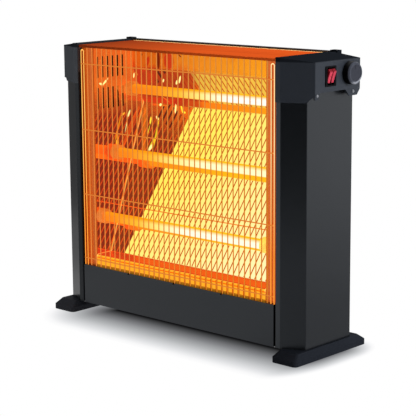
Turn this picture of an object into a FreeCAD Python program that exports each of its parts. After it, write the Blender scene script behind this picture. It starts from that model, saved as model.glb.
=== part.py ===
import FreeCAD
import Part
import math
import os

from FreeCAD import Vector

os.makedirs("parts", exist_ok=True)

# Lengths are in millimetres. X runs across the heater, Y from front to back and Z up.
# The origin lies on the floor, midway between the columns and midway along the feet.
# Setbacks are measured back from the front strips, heights up from the casing's underside.

# General fits
overrun = 5.0
fit_gap = 0.3
shaft_gap = 0.05
seat_gap = 0.15
point_gap = 0.001

# Radiant stack: panel, shelf, tubes and reflector, from the bottom up
panel_height = 75.0
shelf_rise = 22.0
lowest_tube_rise = 74.0
tube_pitch = 119.0
tube_count = 3
lip_rise = 41.0
lip_height = 46.5
lowest_tube_setback = 24.0
tube_step_back = 40.0
shelf_depth = 37.0
fold_reach = 38.0
fold_drop = 30.0
lip_reach = 10.6
fold_clearance = 2.5
reflector_sheet = 0.8
reflector_bend = 2.0

# Widths, from the middle outwards
wall_half_gap = 212.0
flange_width = 29.7
strip_width = 10.8
chamfer_width = 41.5
chamfer_depth = 19.2

# Columns
control_band_height = 50.5
column_sheet = 1.0
column_bend = 1.0
column_return_depth = 19.0
column_rear_flange = 44.0

# Reflector walls
wall_sheet = 0.8
wall_bend = 1.0
flange_setback = 10.0
wall_rear_overlap = 5.0
slot_columns = 6
slot_rows = 2
slot_pitch = 13.0
slot_width = 5.4
slot_length = 40.0
slot_first_setback = 21.0
slot_row_gap = 19.0
slot_top_drop = 21.5
wall_screw_count = 3
wall_screw_end_inset = 45.0

# Feet and pads
pad_height = 1.0
pad_recess = 2.0
pad_radius = 8.0
foot_height = 19.5
foot_step_height = 9.5
foot_front_reach = 22.0
foot_rear_reach = 33.5
foot_inner_overlap = 44.0
foot_outer_reach = 11.0
foot_side_slope = 7.0
foot_end_slope = 15.0
foot_corner_radius = 8.0
foot_top_radius = 4.0
foot_wall = 3.5
foot_roof = 4.0
foot_end_block = 26.0
pad_end_inset = 12.0

# Lower panel
panel_side_gap = 3.7
panel_sheet = 1.0
panel_bend = 1.2
panel_flange_depth = 14.0
panel_end_return = 8.0
notch_width = 4.4
notch_depth = 2.5
notch_reach = 6.5

# Base plate and top plate
plate_sheet = 1.2
base_lip_height = 13.0
base_wing_front_inset = 24.0
base_wing_rear_inset = 5.0
base_side_gap = 1.0
top_sheet = 1.0
top_hem = 3.5
top_rear_flange = 13.0
top_side_gap = 2.6

# Rear pan
pan_depth = 10.5
pan_sheet = 0.8
pan_side_gap = 0.5
pan_rise = 3.5
pan_hem = 5.0
louvre_length = 52.0
louvre_height = 4.0
louvre_columns = 6
louvre_rows = 5
louvre_column_pitch = 70.0
louvre_row_pitch = 11.0
louvre_end_inset = 45.0
rear_screw_columns = 3
rear_screw_pitch = 180.0

# Tubes, windings and ceramics
tube_radius = 9.0
tube_wall = 1.3
tube_end_reach = 12.0
winding_thickness = 1.9
winding_end_inset = 22.0
winding_end_disc = 2.0
tail_radius = 1.0
collar_radius = 14.0
collar_length = 15.0
neck_radius = 10.6
neck_length = 22.0
clip_radius = 12.1
clip_thickness = 1.0
stud_radius = 2.0
stud_length = 10.0
stud_gap = 0.2
stud_inset = 4.0
nut_radius = 4.0
nut_thickness = 3.2

# Guard
guard_setback = 4.0
upright_radius = 1.0
upright_pitch = 13.0
upright_half_count = 17
cross_radius = 1.1
cross_lowest_rise = 13.5
cross_pitch = 124.5
cross_count = 4
weld_sink = 0.3
post_radius = 1.5
post_inset = 4.7
post_spacing = 7.0
post_top_drop = 6.5
hook_step = 9
hook_length = 7.0

# Caps
cap_proud = 1.8
cap_overhang = 13.5
cap_wall = 2.5
cap_side_wall = 2.2
cap_rail_rise = 3.5
cap_rail_width = 15.0
cap_rail_step = 1.0
cap_rail_round = 0.4
cap_side_drop = 3.8
cap_corner_radius = 1.5
cap_skirt_drop = 21.0
cap_wedge_rise = 13.5
cap_hem_drop = 4.4
cap_lobe_drop = 15.8
cap_front_lobe_width = 8.5
cap_front_lobe_slope = 4.0
cap_rear_lobe_start = 106.0
cap_rear_lobe_slope = 10.0
cap_rear_lobe_width = 22.0
cap_rear_wall_inset = 22.0
cap_inner_rear_inset = 4.5
lug_width = 16.0
lug_sink = 2.3
lug_rear_reach = 9.7
lug_height = 3.0
lug_side_inset = 1.5
cap_boss_radius = 4.5
cap_front_screw_setback = 28.0
cap_rear_screw_setback = 126.0
cap_screw_drop = 8.8

# Twin rocker switch
switch_setback = 64.0
switch_rise = 21.5
bezel_half_width = 14.2
bezel_half_height = 17.0
bezel_thickness = 1.5
bezel_round = 1.5
switch_half_width = 13.4
switch_half_height = 15.6
switch_depth = 20.0
pocket_half_width = 9.2
pocket_half_height = 14.7
pocket_depth = 12.0
divider_half = 0.5
rocker_side_gap = 0.2
rocker_pivot_depth = 4.0
rocker_half_height = 13.2
rocker_crest_half = 10.0
rocker_end_reach = 5.5
rocker_shoulder_reach = 1.0
rocker_middle_reach = 5.0
rocker_back_reach = 4.0
rocker_back_half = 8.0
rocker_tilt_deg = 18.0
rocker_pin_radius = 1.5
rocker_outer_pin = 0.9
rocker_inner_pin = 0.35

# Thermostat and knob
knob_setback = 116.0
knob_rise = 23.5
knob_radius = 19.7
knob_face_radius = 17.4
knob_height = 13.4
knob_bevel = 3.2
knob_gap = 0.6
knob_dish_radius = 14.5
knob_dish_depth = 0.6
shaft_radius = 3.0
shaft_flat = 1.0
shaft_in_knob = 8.0
thermostat_half = 16.0
thermostat_depth = 22.0
bush_radius = 4.9
shaft_end_inset = 4.0

# Inner electrics
cutout_radius = 8.0
cutout_height = 7.0
cutout_setback = 122.0
tilt_width = 20.0
tilt_height = 30.0
tilt_front_setback = 55.0
tilt_inset = 4.0
block_width = 22.0
block_length = 36.0
block_height = 18.0
bar_half_width = 6.0
bar_thickness = 1.2
lead_radius = 1.5
lead_bend = 8.0
lead_reach = 18.0
lead_spacing = 9.0
gland_radius = 7.0
gland_bore = 4.0
gland_flange_radius = 10.0
gland_flange = 3.0
gland_inside = 6.0
gland_inset = 50.0
gland_rise = 32.0

# Screws
screw_radius = 1.5
screw_head_radius = 2.6
screw_head_height = 2.0
screw_hole_radius = 1.8
screw_grip = 6.0
foot_screw_inset = 28.0
foot_screw_setbacks = (34.0, 116.0)

# Places worked out from the sizes above
base_z = pad_height + foot_height
shelf_height = panel_height + shelf_rise
tube_heights = [shelf_height + lowest_tube_rise + i * tube_pitch for i in range(tube_count)]
tube_setbacks = [lowest_tube_setback + i * tube_step_back for i in range(tube_count)]
top_level = tube_heights[-1] + lip_rise + lip_height
fold_setback = tube_setbacks[-1] + fold_reach
column_depth = fold_setback + fold_clearance
column_height = top_level - control_band_height
foot_length = foot_front_reach + column_depth + foot_rear_reach
front_y = foot_front_reach - foot_length / 2
rear_y = front_y + column_depth
opening_half = wall_half_gap + flange_width
strip_edge = opening_half + strip_width
casing_half = strip_edge + chamfer_width
panel_half = opening_half - panel_side_gap
pan_y = rear_y + pan_depth
pan_half = opening_half - pan_side_gap
top_z = base_z + top_level
column_top_z = base_z + column_height
guard_y = front_y + guard_setback
cap_half = casing_half + cap_overhang
cap_rear_y = rear_y + fit_gap + cap_wall
side_y = front_y + chamfer_depth
control_z = column_top_z
tube_places = [(front_y + s, base_z + h) for s, h in zip(tube_setbacks, tube_heights)]
ceramic_end_x = wall_half_gap + neck_length
axis_x = Vector(1, 0, 0)
axis_y = Vector(0, 1, 0)
axis_z = Vector(0, 0, 1)


# Outlines are drawn in two directions and placed on a plane
def on_xy(z):
    return lambda p: Vector(p.x, p.y, z)


def on_yz(x):
    return lambda p: Vector(x, p.x, p.y)


def on_xz(y):
    return lambda p: Vector(p.x, y, p.y)


def flat_points(pairs):
    return [Vector(a, b, 0) for a, b in pairs]


# A closed outline with a radius at each corner
def outline(points, radii, place):
    corners = []
    for i, here in enumerate(points):
        back = Vector(points[i - 1] - here).normalize()
        ahead = Vector(points[(i + 1) % len(points)] - here).normalize()
        if radii[i] == 0:
            corners.append((here, None, here))
            continue
        half = back.getAngle(ahead) / 2
        reach = radii[i] / math.tan(half)
        inward = Vector(back + ahead).normalize()
        middle = here + inward * (radii[i] / math.sin(half) - radii[i])
        corners.append((here + back * reach, middle, here + ahead * reach))
    edges = []
    for i, (start, middle, end) in enumerate(corners):
        if middle is not None:
            edges.append(Part.Arc(place(start), place(middle), place(end)).toShape())
        following = corners[(i + 1) % len(corners)][0]
        if (following - end).Length > point_gap:
            edges.append(Part.makeLine(place(end), place(following)))
    return Part.Wire(edges)


def prism(pairs, radii, place, along):
    points = flat_points(pairs)
    if not isinstance(radii, (list, tuple)):
        radii = [radii] * len(points)
    return Part.Face(outline(points, radii, place)).extrude(along)


def left_of(start, end):
    way = Vector(end - start).normalize()
    return Vector(-way.y, way.x, 0)


# Sheet metal bent along an open path, with its thickness to the left of the path
def bent_sheet(pairs, thickness, bend, place, along):
    path = flat_points(pairs)
    other, path_radii, other_radii = [], [], []
    for i, point in enumerate(path):
        normals = []
        if i > 0:
            normals.append(left_of(path[i - 1], point))
        if i < len(path) - 1:
            normals.append(left_of(point, path[i + 1]))
        if len(normals) == 1:
            other.append(point + normals[0] * thickness)
            path_radii.append(0)
            other_radii.append(0)
            continue
        turn_left = normals[0].cross(normals[1]).z > 0
        share = 1 + normals[0].dot(normals[1])
        other.append(point + (normals[0] + normals[1]) * (thickness / share))
        path_radii.append(bend + thickness if turn_left else bend)
        other_radii.append(bend if turn_left else bend + thickness)
    points = path + other[::-1]
    wire = outline(points, path_radii + other_radii[::-1], place)
    return Part.Face(wire).extrude(along)


def box(x0, x1, y0, y1, z0, z1):
    return Part.makeBox(x1 - x0, y1 - y0, z1 - z0, Vector(x0, y0, z0))


def rod(radius, start, length, axis):
    return Part.makeCylinder(radius, length, start, axis)


def fused(shapes):
    return shapes[0].multiFuse(shapes[1:]).removeSplitter()


def mirrored(shape):
    return shape.mirror(Vector(0, 0, 0), axis_x)


def save(name, *shapes):
    shape = shapes[0] if len(shapes) == 1 else Part.makeCompound(list(shapes))
    shape.exportStep(f"parts/{name}.step")


# A pan-head screw whose head's underside sits at a point and whose shank runs along an axis
def screw(seat, axis, shank):
    head = rod(screw_head_radius, seat - axis * screw_head_height, screw_head_height, axis)
    return head.fuse(rod(screw_radius, seat, shank, axis))


# Right column; the left one mirrors it
def side_column():
    path = [
        (opening_half, front_y + column_return_depth),
        (opening_half, front_y),
        (strip_edge, front_y),
        (casing_half, side_y),
        (casing_half, rear_y),
        (casing_half - column_rear_flange, rear_y),
    ]
    along = axis_z * column_height
    shape = bent_sheet(path, column_sheet, column_bend, on_xy(base_z), along)
    for y, z in cap_screw_places():
        shape = shape.cut(rod(screw_hole_radius, Vector(casing_half - overrun, y, z), overrun * 2, axis_x))
    for z in wall_screw_heights():
        start = Vector(opening_half - overrun, wall_screw_y(), z)
        shape = shape.cut(rod(screw_hole_radius, start, overrun * 2, axis_x))
    return shape


def cap_screw_places():
    z = column_top_z - cap_screw_drop
    return [(front_y + cap_front_screw_setback, z), (front_y + cap_rear_screw_setback, z)]


def wall_screw_y():
    return front_y + (flange_setback + wall_sheet + wall_bend + column_return_depth) / 2


def wall_screw_heights():
    low = base_z + panel_height + wall_screw_end_inset
    high = column_top_z - wall_screw_end_inset
    return [low + (high - low) * i / (wall_screw_count - 1) for i in range(wall_screw_count)]


# Right reflector wall: lip on the column, front flange, slotted plate and rear flange
def reflector_wall():
    flange_y = front_y + flange_setback
    plate_rear = rear_y - column_sheet
    path = [
        (opening_half, front_y + column_return_depth),
        (opening_half, flange_y),
        (wall_half_gap, flange_y),
        (wall_half_gap, plate_rear),
        (casing_half - column_rear_flange + wall_rear_overlap, plate_rear),
    ]
    path = [(-x, y) for x, y in path]
    low_z = base_z + plate_sheet
    along = axis_z * (top_z - low_z)
    shape = mirrored(bent_sheet(path, wall_sheet, wall_bend, on_xy(low_z), along))
    notch_rear = front_y + panel_flange_depth + wall_sheet
    shape = shape.cut(box(wall_half_gap - overrun, opening_half + overrun, front_y, notch_rear, base_z,
                          base_z + panel_height))
    lip_front = flange_y + wall_sheet
    lip_rear = front_y + column_return_depth + overrun
    shape = shape.cut(box(opening_half - overrun, opening_half + overrun, lip_front, lip_rear, base_z,
                          base_z + panel_height))
    shape = shape.cut(box(opening_half, casing_half, plate_rear - overrun, rear_y, column_top_z, top_z))
    x0, x1 = wall_half_gap - overrun, wall_half_gap + overrun
    for row in range(slot_rows):
        z1 = top_z - slot_top_drop - row * (slot_length + slot_row_gap)
        for column in range(slot_columns):
            y0 = front_y + slot_first_setback + column * slot_pitch - slot_width / 2
            shape = shape.cut(box(x0, x1, y0, y0 + slot_width, z1 - slot_length, z1))
    for y, z in tube_places:
        shape = shape.cut(rod(neck_radius + fit_gap, Vector(x0, y, z), x1 - x0, axis_x))
    for z in wall_screw_heights():
        start = Vector(opening_half - overrun, wall_screw_y(), z)
        shape = shape.cut(rod(screw_hole_radius, start, overrun * 2, axis_x))
    return shape


# One sheet from the top lip over both facets to the shelf and its front lip
def back_reflector():
    lip_y = front_y + tube_setbacks[-1] + lip_reach
    lip_z = base_z + tube_heights[-1] + lip_rise
    shelf_z = base_z + shelf_height
    shelf_front = front_y + flange_setback
    path = [
        (lip_y, top_z),
        (lip_y, lip_z),
        (front_y + fold_setback - reflector_sheet, base_z + tube_heights[-1] - fold_drop),
        (shelf_front + shelf_depth, shelf_z),
        (shelf_front, shelf_z),
        (shelf_front, base_z + panel_height),
    ]
    along = axis_x * (2 * wall_half_gap)
    return bent_sheet(path, reflector_sheet, reflector_bend, on_yz(-wall_half_gap), along)


def front_panel():
    path = [
        (front_y + panel_flange_depth, base_z + panel_height),
        (front_y, base_z + panel_height),
        (front_y, base_z),
    ]
    skin = bent_sheet(path, panel_sheet, panel_bend, on_yz(-panel_half), axis_x * (2 * panel_half))
    pieces = [skin]
    for side in (-1, 1):
        x0, x1 = sorted((side * panel_half, side * (panel_half - panel_sheet)))
        pieces.append(box(x0, x1, front_y + panel_sheet / 2, front_y + panel_end_return, base_z + plate_sheet,
                          base_z + panel_height - panel_sheet / 2))
    shape = fused(pieces)
    for x in hook_places():
        shape = shape.cut(box(x - notch_width / 2, x + notch_width / 2, front_y - overrun, front_y + notch_reach,
                              base_z + panel_height - notch_depth, base_z + panel_height + overrun))
    return shape


def hook_places():
    return [i * hook_step * upright_pitch for i in (-1, 0, 1)]


def base_plate():
    inner_half = opening_half - base_side_gap
    wing_half = casing_half - column_sheet - base_side_gap
    front = front_y + panel_sheet
    rear = pan_y - pan_sheet
    middle_half = pan_half - 2 * pan_sheet - fit_gap
    flat = fused([
        box(-inner_half, inner_half, front, rear_y - column_sheet, base_z, base_z + plate_sheet),
        box(-wing_half, wing_half, front_y + base_wing_front_inset, rear_y - base_wing_rear_inset, base_z,
            base_z + plate_sheet),
        box(-middle_half, middle_half, front, rear, base_z, base_z + plate_sheet),
        box(-inner_half + panel_end_return, inner_half - panel_end_return, front, front + plate_sheet, base_z,
            base_z + base_lip_height),
        box(-middle_half, middle_half, rear - plate_sheet, rear, base_z, base_z + base_lip_height),
    ])
    for x, y in foot_screw_places():
        flat = flat.cut(rod(screw_hole_radius, Vector(x, y, base_z - overrun), overrun * 2, axis_z))
    return cut_rear_screws(flat)


def foot_screw_places():
    places = []
    for side in (-1, 1):
        for setback in foot_screw_setbacks:
            places.append((side * (casing_half - foot_screw_inset), front_y + setback))
    return places


def rear_screw_places():
    columns = [(i - (rear_screw_columns - 1) / 2) * rear_screw_pitch for i in range(rear_screw_columns)]
    low = base_z + (plate_sheet + base_lip_height) / 2
    high = top_z - top_rear_flange / 2
    return [(x, z) for z in (low, high) for x in columns]


def cut_rear_screws(shape):
    for x, z in rear_screw_places():
        start = Vector(x, pan_y - overrun, z)
        shape = shape.cut(rod(screw_hole_radius, start, overrun * 2, axis_y))
    return shape


def top_plate():
    half = opening_half - top_side_gap
    rear = pan_y - pan_sheet
    shape = fused([
        box(-half, half, front_y, rear, top_z, top_z + top_sheet),
        box(-half, half, front_y, front_y + top_sheet, top_z - top_hem, top_z + top_sheet),
        box(-half, half, rear - top_sheet, rear, top_z - top_rear_flange, top_z + top_sheet),
    ])
    return cut_rear_screws(shape)


def rear_panel():
    pan_front = rear_y - column_sheet
    path = [(pan_half, pan_front), (pan_half, pan_y), (-pan_half, pan_y), (-pan_half, pan_front)]
    pan_top = top_z + top_sheet + pan_rise
    along = axis_z * (pan_top - base_z)
    pan = bent_sheet(path, pan_sheet, pan_sheet, on_xy(base_z), along)
    inner = pan_half - pan_sheet
    hem = box(-inner, inner, pan_y - pan_hem, pan_y - pan_sheet / 2, pan_top - pan_sheet, pan_top)
    shape = fused([pan, hem])
    x_span = (louvre_columns - 1) * louvre_column_pitch
    z_span = (louvre_rows - 1) * louvre_row_pitch
    low_row = base_z + panel_height + louvre_end_inset
    high_row = top_z - louvre_end_inset - z_span
    cuts = []
    for first_z in (low_row, high_row):
        for row in range(louvre_rows):
            for column in range(louvre_columns):
                x = column * louvre_column_pitch - x_span / 2
                z = first_z + row * louvre_row_pitch
                x0, x1 = x - louvre_length / 2, x + louvre_length / 2
                z0, z1 = z - louvre_height / 2, z + louvre_height / 2
                corners = [(x0, z0), (x1, z0), (x1, z1), (x0, z1)]
                start = on_xz(pan_y - pan_sheet * 2)
                cuts.append(prism(corners, louvre_height / 2 - point_gap, start, axis_y * pan_sheet * 3))
    shape = shape.cut(Part.makeCompound(cuts))
    x, z = gland_place()
    shape = shape.cut(rod(gland_radius + seat_gap, Vector(x, pan_y - overrun, z), overrun * 2, axis_y))
    return cut_rear_screws(shape)


def gland_place():
    return pan_half - gland_inset, base_z + gland_rise


def cord_gland():
    x, z = gland_place()
    inner_face = pan_y - pan_sheet
    shape = fused([
        rod(gland_radius, Vector(x, inner_face - gland_inside, z), gland_inside + pan_sheet + gland_flange, axis_y),
        rod(gland_flange_radius, Vector(x, pan_y, z), gland_flange, axis_y),
        rod(gland_flange_radius, Vector(x, inner_face - gland_flange, z), gland_flange, axis_y),
    ])
    return shape.cut(rod(gland_bore, Vector(x, inner_face - gland_inside - overrun, z), pan_depth + overrun * 2,
                         axis_y))


# Right foot: straight base, then slopes on all sides up to the casing's underside
def foot():
    x0, x1 = casing_half - foot_inner_overlap, casing_half + foot_outer_reach
    y0, y1 = -foot_length / 2, foot_length / 2
    low, step, high = pad_height, pad_height + foot_step_height, base_z
    base_corners = [(x0, y0), (x1, y0), (x1, y1), (x0, y1)]
    top_corners = [
        (x0 + foot_side_slope, y0 + foot_end_slope),
        (x1 - foot_side_slope, y0 + foot_end_slope),
        (x1 - foot_side_slope, y1 - foot_end_slope),
        (x0 + foot_side_slope, y1 - foot_end_slope),
    ]
    radii = [foot_corner_radius] * 4
    base = prism(base_corners, radii, on_xy(low), axis_z * (step - low))
    lower = outline(flat_points(base_corners), radii, on_xy(step))
    upper = outline(flat_points(top_corners), [foot_top_radius] * 4, on_xy(high))
    slope = Part.makeLoft([lower, upper], True, True)
    shape = base.fuse(slope).removeSplitter()
    roof = high - foot_roof
    shape = shape.cut(box(x0 + foot_wall, x1 - foot_wall, y0 + foot_end_block, y1 - foot_end_block,
                          low - overrun, step))
    inset = foot_wall + foot_side_slope
    shape = shape.cut(box(x0 + inset, x1 - inset, y0 + foot_end_block, y1 - foot_end_block, low, roof))
    for y in pad_places():
        centre = Vector((x0 + x1) / 2, y, low - overrun)
        shape = shape.cut(rod(pad_radius + seat_gap, centre, overrun + pad_recess, axis_z))
    for x, y in foot_screw_places():
        shape = shape.cut(rod(screw_hole_radius, Vector(x, y, low), foot_height + overrun, axis_z))
    return shape


def pad_places():
    return [-foot_length / 2 + pad_end_inset, foot_length / 2 - pad_end_inset]


def foot_pads():
    x = casing_half + (foot_outer_reach - foot_inner_overlap) / 2
    pads = []
    for side in (-1, 1):
        for y in pad_places():
            pads.append(rod(pad_radius, Vector(side * x, y, 0), pad_height + pad_recess, axis_z))
    return pads


# Tubes, windings, ceramics and terminals
def quartz_tube(y, z):
    end = wall_half_gap + tube_end_reach
    tube = rod(tube_radius, Vector(-end, y, z), 2 * end, axis_x)
    return tube.cut(rod(tube_radius - tube_wall, Vector(-end, y, z), 2 * end, axis_x))


def heating_coil(y, z):
    outer = tube_radius - tube_wall - fit_gap
    half = wall_half_gap - winding_end_inset
    tail_end = wall_half_gap + tube_end_reach - stud_inset
    winding = rod(outer, Vector(-half, y, z), 2 * half, axis_x)
    hollow_half = half - winding_end_disc
    winding = winding.cut(rod(outer - winding_thickness, Vector(-hollow_half, y, z), 2 * hollow_half, axis_x))
    pieces = [winding]
    for side in (-1, 1):
        pieces.append(rod(tail_radius, Vector(side * half, y, z), tail_end - half, axis_x * side))
    return fused(pieces)


def ceramic(y, z):
    start = wall_half_gap - collar_length
    seat = wall_half_gap + tube_end_reach
    shape = rod(collar_radius, Vector(start, y, z), collar_length, axis_x)
    shape = shape.fuse(rod(neck_radius, Vector(wall_half_gap, y, z), neck_length, axis_x)).removeSplitter()
    shape = shape.cut(rod(tube_radius + seat_gap, Vector(start, y, z), seat - start, axis_x))
    return shape.cut(rod(stud_radius + stud_gap, Vector(seat, y, z), neck_length, axis_x))


def ceramic_clip(y, z):
    x = wall_half_gap + wall_sheet
    ring = rod(clip_radius, Vector(x, y, z), clip_thickness, axis_x)
    return ring.cut(rod(neck_radius + seat_gap, Vector(x, y, z), clip_thickness, axis_x))


# A terminal stud with its nut; on the left the nut also clamps the bus bar
def terminal(y, z, clamped):
    start = wall_half_gap + tube_end_reach - stud_inset
    end = ceramic_end_x + stud_length
    stud = rod(stud_radius, Vector(start, y, z), end - start, axis_x)
    corners = []
    for i in range(6):
        angle = math.radians(60 * i)
        corners.append((y + nut_radius * math.cos(angle), z + nut_radius * math.sin(angle)))
    nut = prism(corners, 0, on_yz(ceramic_end_x + clamped), axis_x * nut_thickness)
    return stud.fuse(nut).removeSplitter()


def left_bus_bar():
    (y0, z0), (y1, z1) = tube_places[0], tube_places[-1]
    way = Vector(y1 - y0, z1 - z0, 0).normalize()
    aside = Vector(-way.y, way.x, 0) * bar_half_width
    ends = [Vector(y0, z0, 0) - way * bar_half_width, Vector(y1, z1, 0) + way * bar_half_width]
    corners = [ends[0] - aside, ends[1] - aside, ends[1] + aside, ends[0] + aside]
    pairs = [(p.x, p.y) for p in corners]
    bar = prism(pairs, bar_half_width / 2, on_yz(-ceramic_end_x - bar_thickness), axis_x * bar_thickness)
    for y, z in tube_places:
        start = Vector(-ceramic_end_x - overrun, y, z)
        bar = bar.cut(rod(stud_radius + stud_gap, start, overrun * 2, axis_x))
    return bar


# Welded guard: uprights, cross wires and a hairpin post at each end
def wire_guard():
    low = base_z + panel_height
    wires = []
    hooks = hook_places()
    for i in range(-upright_half_count, upright_half_count + 1):
        x = i * upright_pitch
        start = low - hook_length if x in hooks else low
        wires.append(rod(upright_radius, Vector(x, guard_y, start), top_z - start, axis_z))
    outer = opening_half - post_inset
    bend = post_spacing / 2
    post_top = top_z - post_top_drop - bend - post_radius
    for side in (-1, 1):
        for x in (outer, outer - post_spacing):
            wires.append(rod(post_radius, Vector(side * x, guard_y, low), post_top - low, axis_z))
        centre = Vector(side * (outer - bend), guard_y, post_top)
        ring = Part.makeTorus(bend, post_radius, centre, axis_y)
        half = box(centre.x - post_spacing, centre.x + post_spacing, guard_y - overrun, guard_y + overrun,
                   post_top, post_top + post_spacing)
        wires.append(ring.common(half))
    cross_y = guard_y - upright_radius - cross_radius + weld_sink
    for i in range(cross_count):
        z = low + cross_lowest_rise + i * cross_pitch
        wires.append(rod(cross_radius, Vector(-outer, cross_y, z), 2 * outer, axis_x))
    return fused(wires)


# The caps' front faces follow the columns' slanted faces at a distance
def cap_slant_y(x, distance):
    slope = chamfer_depth / chamfer_width
    return front_y + (x - strip_edge) * slope - distance * math.hypot(1, slope)


def cap_slant_x(y, distance):
    slope = chamfer_depth / chamfer_width
    return strip_edge + (y - front_y + distance * math.hypot(1, slope)) / slope


def cap_plan(inner_x, distance, outer_x, rear):
    front = front_y - distance
    return [
        (inner_x, front),
        (cap_slant_x(front, distance), front),
        (outer_x, cap_slant_y(outer_x, distance)),
        (outer_x, rear),
        (inner_x, rear),
    ]


# Right cap's shell: plan outline crossed with the front outline, hollowed, with a lobed skirt
def cap_shell():
    inner_x = opening_half + fit_gap
    skirt_z = column_top_z - cap_skirt_drop
    rail_x = inner_x + cap_rail_width
    rail_z = top_z + cap_rail_rise
    shoulder_z = rail_z - cap_rail_step
    side_z = top_z - cap_side_drop
    plan_radii = [cap_corner_radius] * 4 + [0]
    plan = prism(cap_plan(inner_x, cap_proud, cap_half, cap_rear_y), plan_radii, on_xy(skirt_z),
                 axis_z * (rail_z - skirt_z))
    front_pairs = [(inner_x, skirt_z), (cap_half, skirt_z), (cap_half, side_z), (rail_x, shoulder_z),
                   (rail_x, rail_z), (inner_x, rail_z)]
    round_r = cap_corner_radius
    front_radii = [0, 0, round_r, cap_rail_round, cap_rail_round, round_r]
    start = on_xz(front_y - overrun)
    depth = axis_y * (column_depth + overrun * 3)
    shell = plan.common(prism(front_pairs, front_radii, start, depth))
    cavity_plan = cap_plan(inner_x + cap_side_wall, fit_gap, cap_half - cap_wall, rear_y + fit_gap)
    cavity = prism(cavity_plan, 0, on_xy(skirt_z - overrun), axis_z * (rail_z - skirt_z + overrun))
    roof_pairs = [
        (inner_x, skirt_z - overrun),
        (cap_half, skirt_z - overrun),
        (cap_half, side_z - cap_wall),
        (rail_x, shoulder_z - cap_wall),
        (inner_x, shoulder_z - cap_wall),
    ]
    cavity = cavity.common(prism(roof_pairs, 0, start, depth))
    shell = shell.cut(cavity)
    below = column_top_z + fit_gap
    shell = shell.cut(box(inner_x - overrun, inner_x + cap_side_wall + overrun, front_y - fit_gap,
                          cap_rear_y + overrun, skirt_z - overrun, below))
    roof_z = shoulder_z - cap_wall
    shell = shell.cut(box(inner_x - overrun, inner_x + cap_rear_wall_inset, rear_y - cap_inner_rear_inset,
                          cap_rear_y + overrun, skirt_z - overrun, roof_z))
    return shell.cut(cap_skirt_cut(skirt_z))


# What is taken off the cap's lower edge, leaving two screw lobes and a slanted front corner
def cap_skirt_cut(skirt_z):
    low = skirt_z - overrun
    hem_z = column_top_z - cap_hem_drop
    lobe_z = column_top_z - cap_lobe_drop
    first = cap_slant_y(cap_half, cap_proud)
    front_end = first + cap_front_lobe_width
    rear_start = front_y + cap_rear_lobe_start
    rear_flat = rear_start + cap_rear_lobe_slope
    rear_end = rear_flat + cap_rear_lobe_width
    edge = [
        (side_y, low),
        (side_y, lobe_z),
        (front_end, lobe_z),
        (front_end + cap_front_lobe_slope, hem_z),
        (rear_start, hem_z),
        (rear_flat, lobe_z),
        (rear_end, lobe_z),
        (cap_rear_y, hem_z),
        (cap_rear_y + overrun, hem_z),
        (cap_rear_y + overrun, low),
    ]
    side = prism(edge, 0, on_yz(casing_half), axis_x * (cap_overhang + overrun))
    wedge_pairs = [(casing_half, skirt_z), (cap_half, skirt_z + cap_wedge_rise), (cap_half + overrun, low),
                   (casing_half, low)]
    wedge = prism(wedge_pairs, 0, on_xz(front_y - overrun), axis_y * (first - front_y + overrun))
    rear = box(opening_half, casing_half, rear_y, cap_rear_y + overrun, low, hem_z)
    return fused([side, wedge, rear])


# Right or left cap in right-hand place, with its lug and screw bosses
def top_cap():
    inner_x = opening_half + fit_gap
    rail_z = top_z + cap_rail_rise
    lug_x = inner_x + lug_side_inset
    lug = box(lug_x, lug_x + lug_width, cap_rear_y - lug_sink, cap_rear_y + lug_rear_reach,
              rail_z - cap_rail_step - cap_wall, rail_z + lug_height)
    pieces = [cap_shell(), lug]
    for y, z in cap_screw_places():
        pieces.append(rod(cap_boss_radius, Vector(casing_half, y, z), cap_overhang - cap_wall / 2, axis_x))
    cap = fused(pieces)
    for y, z in cap_screw_places():
        start = Vector(casing_half - overrun, y, z)
        cap = cap.cut(rod(screw_hole_radius, start, cap_overhang + overrun * 2, axis_x))
    return cap


def control_cap():
    y, z = switch_place()
    half_width = switch_half_width + fit_gap
    half_height = switch_half_height + fit_gap
    x0, x1 = cap_half - overrun, cap_half + overrun
    cap = top_cap().cut(box(x0, x1, y - half_width, y + half_width, z - half_height, z + half_height))
    y, z = knob_place()
    return cap.cut(rod(bush_radius + fit_gap, Vector(x0, y, z), x1 - x0, axis_x))


def switch_place():
    return front_y + switch_setback, control_z + switch_rise


def knob_place():
    return front_y + knob_setback, control_z + knob_rise


def switch_housing():
    y, z = switch_place()
    bezel_pairs = [
        (y - bezel_half_width, z - bezel_half_height),
        (y + bezel_half_width, z - bezel_half_height),
        (y + bezel_half_width, z + bezel_half_height),
        (y - bezel_half_width, z + bezel_half_height),
    ]
    bezel = prism(bezel_pairs, bezel_round, on_yz(cap_half), axis_x * bezel_thickness)
    body = box(cap_half - switch_depth, cap_half, y - switch_half_width, y + switch_half_width,
               z - switch_half_height, z + switch_half_height)
    shape = fused([bezel, body])
    face = cap_half + bezel_thickness
    for side in (-1, 1):
        y0, y1 = sorted((y + side * divider_half, y + side * pocket_half_width))
        shape = shape.cut(box(face - pocket_depth, face + overrun, y0, y1, z - pocket_half_height,
                              z + pocket_half_height))
    pin_half = pocket_half_width + rocker_outer_pin + rocker_side_gap
    pin_start = Vector(rocker_pivot_x(), y - pin_half, z)
    return shape.cut(rod(rocker_pin_radius + shaft_gap, pin_start, 2 * pin_half, axis_y))


def rocker_pivot_x():
    return cap_half + bezel_thickness - rocker_pivot_depth


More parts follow.
